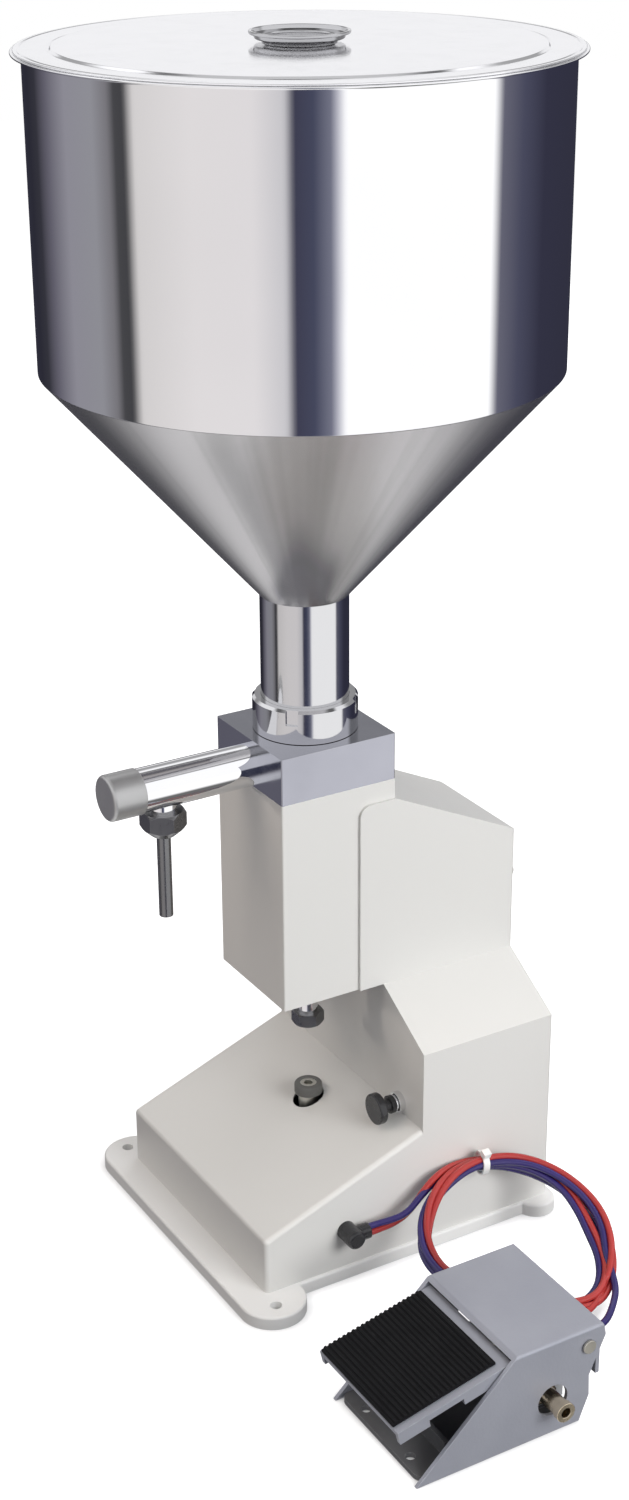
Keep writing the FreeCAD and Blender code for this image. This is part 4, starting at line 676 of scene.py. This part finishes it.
def ribTree():
    """Rounded ribs across X, one behind the other towards -Y, joined to the geometry given."""
    tree, given, out = newTree("treadRibs", (
        ("Rib Count", "Int", 20), ("Rib Pitch", "Float", 0.003), ("Rib Width", "Float", 0.0018),
        ("Rib Height", "Float", 0.0025), ("Half Width", "Float", 0.034), ("Corner", "Float", 0.0005),
        ("First", "Float", 0.0)))
    span = node(tree, "GeometryNodeCurvePrimitiveLine")
    half = given.outputs["Half Width"]
    link(tree, vector(tree, math2(tree, "MULTIPLY", half, -1.0)), span.inputs["Start"])
    link(tree, vector(tree, half), span.inputs["End"])
    upright = node(tree, "GeometryNodeSetCurveNormal", mode="Z_UP")
    link(tree, span.outputs[0], upright.inputs[0])
    outline = node(tree, "GeometryNodeCurvePrimitiveQuadrilateral")
    link(tree, given.outputs["Rib Width"], outline.inputs["Width"])
    link(tree, given.outputs["Rib Height"], outline.inputs["Height"])
    corner = node(tree, "GeometryNodeFilletCurve", mode="POLY")
    link(tree, outline.outputs[0], corner.inputs["Curve"])
    corner.inputs["Count"].default_value = 3
    link(tree, given.outputs["Corner"], corner.inputs["Radius"])
    rib = node(tree, "GeometryNodeCurveToMesh")
    link(tree, upright.outputs[0], rib.inputs["Curve"])
    link(tree, corner.outputs[0], rib.inputs["Profile Curve"])
    rib.inputs["Fill Caps"].default_value = True
    rows = node(tree, "GeometryNodeMeshLine", mode="OFFSET")
    link(tree, given.outputs["Rib Count"], rows.inputs["Count"])
    middle = math2(tree, "MULTIPLY", given.outputs["Rib Height"], 0.5)
    link(tree, vector(tree, 0, given.outputs["First"], middle), rows.inputs["Start Location"])
    pitch = math2(tree, "MULTIPLY", given.outputs["Rib Pitch"], -1.0)
    link(tree, vector(tree, 0, pitch), rows.inputs["Offset"])
    placed = node(tree, "GeometryNodeInstanceOnPoints")
    link(tree, rows.outputs[0], placed.inputs["Points"])
    link(tree, rib.outputs[0], placed.inputs["Instance"])
    both = node(tree, "GeometryNodeJoinGeometry")
    link(tree, given.outputs["Geometry"], both.inputs[0])
    link(tree, placed.outputs[0], both.inputs[0])
    finishTree(tree, both.outputs[0], out, materials["pad_rubber"])
    return tree


def screwTree():
    """A pan-head screw with a cross recess on each point, its head towards +Y."""
    # sides of each round, the upright share of the head's height, and the crown's radius over the head's
    pan = {"sides": 40, "upright": 0.55, "crown": 0.72}
    tree, given, out = newTree("panelScrews", (
        ("Head Radius", "Float", 0.0036), ("Head Height", "Float", 0.0022), ("Shank Radius", "Float", 0.002),
        ("Shank Length", "Float", 0.0076), ("Slot Width", "Float", 0.0008), ("Slot Length", "Float", 0.0044)))
    height = given.outputs["Head Height"]
    low = math2(tree, "MULTIPLY", height, pan["upright"])

    def cylinder(radius, depth, base, top=1.0):
        made = node(tree, "GeometryNodeMeshCone", in_Vertices=pan["sides"])
        made.inputs["Side Segments"].default_value = 1
        link(tree, math2(tree, "MULTIPLY", radius, top), made.inputs["Radius Top"])
        link(tree, radius, made.inputs["Radius Bottom"])
        link(tree, depth, made.inputs["Depth"])
        moved = node(tree, "GeometryNodeTransform")
        link(tree, made.outputs[0], moved.inputs["Geometry"])
        link(tree, vector(tree, 0, 0, base), moved.inputs["Translation"])
        return moved.outputs[0]

    rim = cylinder(given.outputs["Head Radius"], low, 0.0)
    dome = cylinder(given.outputs["Head Radius"], math2(tree, "SUBTRACT", height, low), low, pan["crown"])
    shank = cylinder(given.outputs["Shank Radius"], given.outputs["Shank Length"],
                     math2(tree, "MULTIPLY", given.outputs["Shank Length"], -1.0))
    head = node(tree, "GeometryNodeMeshBoolean", operation="UNION")
    for part in (rim, dome):
        link(tree, part, head.inputs["Mesh 2"])
    bars = node(tree, "GeometryNodeMeshBoolean", operation="DIFFERENCE")
    link(tree, head.outputs[0], bars.inputs["Mesh 1"])
    for x, y in (("Slot Length", "Slot Width"), ("Slot Width", "Slot Length")):
        bar = node(tree, "GeometryNodeMeshCube")
        link(tree, vector(tree, given.outputs[x], given.outputs[y], height), bar.inputs["Size"])
        moved = node(tree, "GeometryNodeTransform")
        link(tree, bar.outputs[0], moved.inputs["Geometry"])
        link(tree, vector(tree, 0, 0, height), moved.inputs["Translation"])
        link(tree, moved.outputs[0], bars.inputs["Mesh 2"])
    screw = node(tree, "GeometryNodeJoinGeometry")
    link(tree, bars.outputs[0], screw.inputs[0])
    link(tree, shank, screw.inputs[0])
    placed = node(tree, "GeometryNodeInstanceOnPoints")
    link(tree, given.outputs["Geometry"], placed.inputs["Points"])
    link(tree, screw.outputs[0], placed.inputs["Instance"])
    placed.inputs["Rotation"].default_value = (-math.pi / 2, 0, 0)
    finishTree(tree, placed.outputs[0], out, materials["zinc_steel"])
    return tree


def makePanelScrews():
    panel = {"halfWidth": 30.0, "rows": (34.0, 120.5, 207.0), "headRadius": 3.6}
    face = max(v.co.y for v in frame["nodes"]["rear_panel"].data.vertices)
    points = [(side * panel["halfWidth"] * mm, face, z * mm) for side in (-1, 1) for z in panel["rows"]]
    mesh = bpy.data.meshes.new("screwPoints")
    mesh.from_pydata(points, [], [])
    made = grown("rear_panel_screw_heads", mesh, screwTree(), {"Head Radius": panel["headRadius"] * mm})
    addPiece("rear_panel_screw_heads", made, "rear_panel_screws")


def makeTreadPad():
    # start and end are along the tread from its heel; edge rounds the base, inset and margin keep the ribs
    # inside it; the pad is 4 mm wider than the CAD's, on the side towards -X
    pad = {"half": 36.0, "start": -7.0, "end": -72.2, "base": 1.7, "thick": 2.5, "pitch": 3.0, "rib": 1.7,
           "corner": 0.45, "heel": (213.0, -26.2, 54.0), "slope": math.atan2(16.0, 70.8), "edge": 0.35,
           "inset": 0.3, "margin": 1.2, "sharp": 40.0}
    bm = bmesh.new()
    bmesh.ops.create_cube(bm, size=1.0)
    length, middle = pad["start"] - pad["end"], (pad["start"] + pad["end"]) / 2
    for v in bm.verts:
        v.co = Vector((v.co.x * 2 * pad["half"], v.co.y * length + middle, (v.co.z + 0.5) * pad["base"])) * mm
    bmesh.ops.bevel(bm, geom=list(bm.edges), offset=pad["edge"] * mm, segments=2, affect="EDGES")
    mesh = bpy.data.meshes.new("padBase")
    bm.to_mesh(mesh)
    bm.free()
    count = int((length - pad["margin"]) / pad["pitch"])
    rest = length - (count - 1) * pad["pitch"]
    made = grown("tread_pad_ribbed", mesh, ribTree(), {
        "Rib Count": count, "Rib Pitch": pad["pitch"] * mm, "Rib Width": pad["rib"] * mm,
        "Rib Height": pad["thick"] * mm, "Half Width": (pad["half"] - pad["inset"]) * mm,
        "Corner": pad["corner"] * mm, "First": (pad["start"] - rest / 2) * mm})
    for polygon in made.polygons:
        polygon.use_smooth = True
    made.set_sharp_from_angle(angle=math.radians(pad["sharp"]))
    made.transform(Matrix.Translation(Vector(pad["heel"]) * mm) @ Matrix.Rotation(pad["slope"], 4, "X"))
    addPiece("tread_pad_ribbed", made, "tread_pad")


# ---- the two free hoses ----

def makeHoses():
    # angles in degrees and lengths in millimetres: passes lie in columns and two rows across the bundle,
    # fan out at fanAt, run flatter past the foot valve at flatAt, and are drawn tight by the tie at tieAt
    coil = {"centre": (140.89, 56.3, 30.25), "tilt": 25.0, "radius": 55.6, "grow": 1.008, "start": 118.0,
            "end": -760.0, "steps": 44, "seam": 190.0, "column": 4.2, "row": 2.1, "fanAt": -8.0,
            "fanWidth": 28.0, "fanIn": 8.0, "fanOut": 1.5, "flatAt": -125.0, "flatDepth": 20.6,
            "flatWidth": 73.0, "tieAt": 80.0, "tieWidth": 14.0, "tieBy": 0.14, "sway": 0.35,
            "swayTurn": 0.37, "swayPhase": 40.0}
    hose = {"diameter": 0.004, "facets": 5, "resolution": 8}
    tilt = math.radians(coil["tilt"])
    across = Vector((0, 1, 0))
    up = Vector((-math.cos(tilt), 0, math.sin(tilt)))
    normal = across.cross(up)
    # twist of the bundle by angle round the coil, and column of each pass by unwrapped angle
    twist = ((170, 90), (118, 0), (84, -60), (50, -90), (10, -90), (-40, -60), (-120, 60), (-190, 90))
    column = ((118, 1), (-60, 1), (-190, 0), (-420, 0), (-550, -1), (-760, -1))

    def follow(table, value):
        """A table's value at an angle, eased between its rows."""
        for (a, x), (b, y) in zip(table, table[1:]):
            if b <= value <= a:
                t = (a - value) / (a - b)
                return x + (y - x) * t * t * (3 - 2 * t)
        return table[0][1] if value > table[0][0] else table[-1][1]

    def wound(angle, side):
        """A point on a hose by its unwrapped angle; side is the row that the hose lies in."""
        within = (angle + coil["seam"]) % 360 - coil["seam"]
        turn = math.radians(follow(twist, within))
        gap = abs((within - coil["flatAt"] + 180) % 360 - 180)
        r = coil["radius"] * coil["grow"]
        if gap < coil["flatWidth"]:
            r -= coil["flatDepth"] * math.cos(math.radians(gap / coil["flatWidth"] * 90)) ** 2
        tight = 1 - coil["tieBy"] * math.exp(-((within - coil["tieAt"]) / coil["tieWidth"]) ** 2)
        a = coil["column"] * follow(column, angle) * tight
        b = coil["row"] * side * tight
        loose = coil["sway"] * math.sin(math.radians(angle * coil["swayTurn"] + coil["swayPhase"] * side))
        outer = abs(follow(column, angle))
        fan = math.exp(-((within - coil["fanAt"]) / coil["fanWidth"]) ** 2)
        loose += fan * (coil["fanOut"] * outer - coil["fanIn"] * (1 - outer))
        phi = math.radians(angle)
        outward = across * math.cos(phi) + up * math.sin(phi)
        place = outward * (r + a * math.cos(turn) - b * math.sin(turn) + loose)
        return Vector(coil["centre"]) + place + normal * (a * math.sin(turn) + b * math.cos(turn))

    routes = {
        "red": {"side": 1, "shift": 0.0, "length": 0.95,
                "lead": ((90, -13, 30.8), (90, -6.5, 30.8), (92.6, 2.5, 33.4), (94.6, 12.5, 38.8)),
                "tail": ((180.5, 90, 10.4), (188.5, 79.5, 8), (194, 67, 9.4), (195, 53.5, 14.6),
                         (195, 42.5, 18), (195, 25, 18))},
        "blue": {"side": -1, "shift": 8.0, "length": 0.96,
                 "lead": ((90, -13, 35.2), (90, -7, 35.2), (93.4, 0.6, 37), (97.4, 9.4, 41)),
                 "tail": ((185, 97, 11.4), (196, 86, 8.4), (206, 73, 8.6), (210.6, 58.6, 12.8), (211, 45, 18),
                          (211, 25, 18))}}
    for name, route in routes.items():
        points = [Vector(p) for p in route["lead"]]
        span = coil["start"] - coil["end"]
        for k in range(coil["steps"] + 1):
            angle = coil["start"] + route["shift"] - span * k / coil["steps"]
            points.append(wound(angle, route["side"]))
        points += [Vector(p) for p in route["tail"]]
        data = bpy.data.curves.new(name + "_hose", "CURVE")
        data.dimensions = "3D"
        spline = data.splines.new("NURBS")
        spline.points.add(len(points) - 1)
        for place, p in zip(spline.points, points):
            place.co = (*(p * mm), 1)
        spline.order_u = 3
        spline.use_endpoint_u = True
        spline.resolution_u = hose["resolution"]
        data.bevel_depth = hose["diameter"] / 2
        data.bevel_resolution = hose["facets"]
        data.use_fill_caps = True
        data.materials.append(materials[name + "_hose"])
        run = bpy.data.objects.new(name + "_hose_run", data)
        scene.collection.objects.link(run)
        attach(run, "machine")
        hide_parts(name + "_hose", "hose_coil")


makeHoses()
refined("hose_tie", bevel=0.25)
print("hoses made")


# ---- hopper, lid and neck ----

def makeHopper():
    # radii and heights in millimetres; a third number in a corner is the radius it is rounded to
    wall = {"outer": 140.0, "inner": 138.8, "low": 527.0, "top": 690.0, "rim": 145.5, "flange": 1.2}
    under = wall["top"] - wall["flange"]
    profile = [(wall["inner"], wall["low"], 0), (wall["outer"], wall["low"], 0.3),
               (wall["outer"], under, 1.2), (wall["rim"], under, 0.5),
               (wall["rim"], wall["top"], 0.5), (wall["inner"], wall["top"], 0.8)]
    addPiece("hopper_wall_turned", lathe("hopper_wall_turned", softened(profile, 0.5), 320), "hopper_wall")
    cone = {"neck": 25.0, "wide": 140.0, "low": 398.0, "top": 527.0, "sheet": 1.2, "in": 0.9, "lift": 1.0}
    slope = math.atan2(cone["wide"] - cone["neck"], cone["top"] - cone["low"])
    inward = cone["sheet"] / math.cos(slope)
    profile = [(cone["neck"] - inward, cone["low"], 0), (cone["neck"], cone["low"], 0),
               (cone["neck"] + cone["in"], cone["low"] + cone["lift"], 2.0),
               (cone["wide"] - cone["in"], cone["top"] - cone["lift"], 0.8),
               (cone["wide"], cone["top"], 0), (cone["wide"] - inward, cone["top"], 0)]
    addPiece("hopper_cone_spun", lathe("hopper_cone_spun", softened(profile, 0.4), 320), "hopper_cone",
             "cone_steel")
    neck = {"r": 25.0, "bore": 23.8, "low": 320.0, "top": 398.0, "stopR": 27.6, "stop": (328.2, 329.8)}
    profile = [(neck["bore"], neck["low"]), (neck["r"], neck["low"]), (neck["r"], neck["stop"][0], 0),
               (neck["stopR"], neck["stop"][0]), (neck["stopR"], neck["stop"][1]),
               (neck["r"], neck["stop"][1], 0), (neck["r"], neck["top"], 0), (neck["bore"], neck["top"], 0)]
    addPiece("hopper_neck_turned", lathe("hopper_neck_turned", softened(profile, 0.3), 160), "hopper_neck",
             "shaded_neck_steel")


def makeLid():
    # a sheet with a raised middle, a groove just inside its edge and a skirt that drops into the wall
    lid = {"r": 144.0, "step": 126.0, "low": 690.0, "sheet": 1.0, "rise": 0.8, "skirt": 137.8,
           "skirtLow": 681.0, "foot": 1.6, "drop": 0.4, "groove": (3.5, 2.6, 1.8), "grooveDeep": 0.3}
    z, t, top = lid["low"], lid["sheet"], lid["low"] + lid["sheet"] + lid["rise"]
    r, step, skirt = lid["r"], lid["step"], lid["skirt"]
    outer, deepest, inner = (r - inset for inset in lid["groove"])
    profile = [(0, top, 0), (step - 1, top, 0.4), (step, z + t - lid["drop"], 0.2),
               (step + lid["foot"], z + t, 0.3), (outer, z + t, 0.3), (deepest, z + t - lid["grooveDeep"], 0.2),
               (inner, z + t, 0.2), (r, z + t, 0.45), (r, z, 0.45), (skirt, z, 0.3),
               (skirt, lid["skirtLow"], 0.4), (skirt - t, lid["skirtLow"], 0.4), (skirt - t, z, 0.3),
               (step, z, 0.3), (step - 2, top - t, 0.3), (0, top - t, 0)]
    addPiece("hopper_lid_pressed", lathe("hopper_lid_pressed", softened(profile, 0.4), 320), "hopper_lid",
             "lid_steel")
    # a low knob with a waist under its lip and a dished top
    knob = {"r": 26.0, "waist": 18.0, "foot": 2.0, "lip": 1.6, "h": 5.8, "dish": 4.2, "low": 691.8,
            "brim": 1.6, "slant": 1.4}
    z, waist = knob["low"], knob["waist"]
    top, r = z + knob["h"], knob["r"]
    under, dish, mouth = top - knob["lip"], top - knob["dish"], r - knob["brim"]
    profile = [(0, z, 0), (waist + knob["foot"], z, 0.2), (waist, z + 1, 0.8), (waist, under - 1, 0.8),
               (r - 1.5, under - 0.3, 0.4), (r, under, 0.5), (r, top, 0.7), (mouth, top, 0.5),
               (mouth - knob["slant"], dish, 1.2), (0, dish, 0)]
    addPiece("lid_knob_turned", lathe("lid_knob_turned", softened(profile, 0.4), 192), "lid_knob", "shaded_knob_steel")


makeHopper()
makeLid()
refined("neck_nut", "shaded_neck_steel", bevel=0.45, segments=3)
print("hopper made")


# ---- outlet ----

refined("outlet_tube", bevel=0.3)
refined("union_nut", "nozzle_steel", bevel=0.35, segments=3)
refined("nozzle", "nozzle_steel", bevel=0.2)


def makeEndCap():
    # lengths run forward from the end of the outlet tube; the spigot sits inside the tube
    cap = {"r": 13.2, "length": 20.0, "at": (0, -107.0, 302.0), "round": 2.2, "spigotR": 9.45,
           "spigotLength": 8.0}
    profile = [(0, cap["length"], 0), (cap["r"], cap["length"], cap["round"]), (cap["r"], 0, 0.5),
               (cap["spigotR"], 0, 0), (cap["spigotR"], -cap["spigotLength"], 0.5),
               (0, -cap["spigotLength"], 0)]
    mesh = lathe("end_cap_turned", softened(profile, 0.4, steps=7), 160, cap["at"], "-Y")
    addPiece("end_cap_turned", mesh, "end_cap", "cap_steel")


makeEndCap()
print("outlet made")


# ---- housing, column, block and plate ----

refined("housing", bevel=0.5, segments=3)
refined("column_shell", bevel=0.5, segments=3)
refined("valve_block", "block_steel", bevel=0.7, segments=3)
refined("base_plate", bevel=0.4)
refined("rear_panel", bevel=0.4)
makePanelScrews()
refined("rod_bushes", bevel=0.2)
refined("piston_rod", bevel=0.0)
refined("rod_end_nut", "nozzle_steel", bevel=0.3)
refined("stop_bumper", "bumper_rubber", bevel=0.2)
refined("stop_screw", bevel=0.2)
refined("stop_post", bevel=0.3)
refined("air_valve_body", "polished_steel", bevel=0.2)
refined("air_valve_knob", bevel=0.3)
refined("hose_gland", bevel=0.35)
print("housing made")


# ---- foot valve ----

refined("pedal_cover", bevel=0.5, segments=3)
refined("pedal_tread", bevel=0.4)
refined("pedal_base", bevel=0.3)
refined("pedal_pin", bevel=0.3)
refined("foot_valve_body", bevel=0.4)
refined("air_inlet_fitting", bevel=0.25)
refined("push_in_fittings", bevel=0.2)
makeTreadPad()
refined("valve_spool", bevel=0.0)
print("foot valve made")
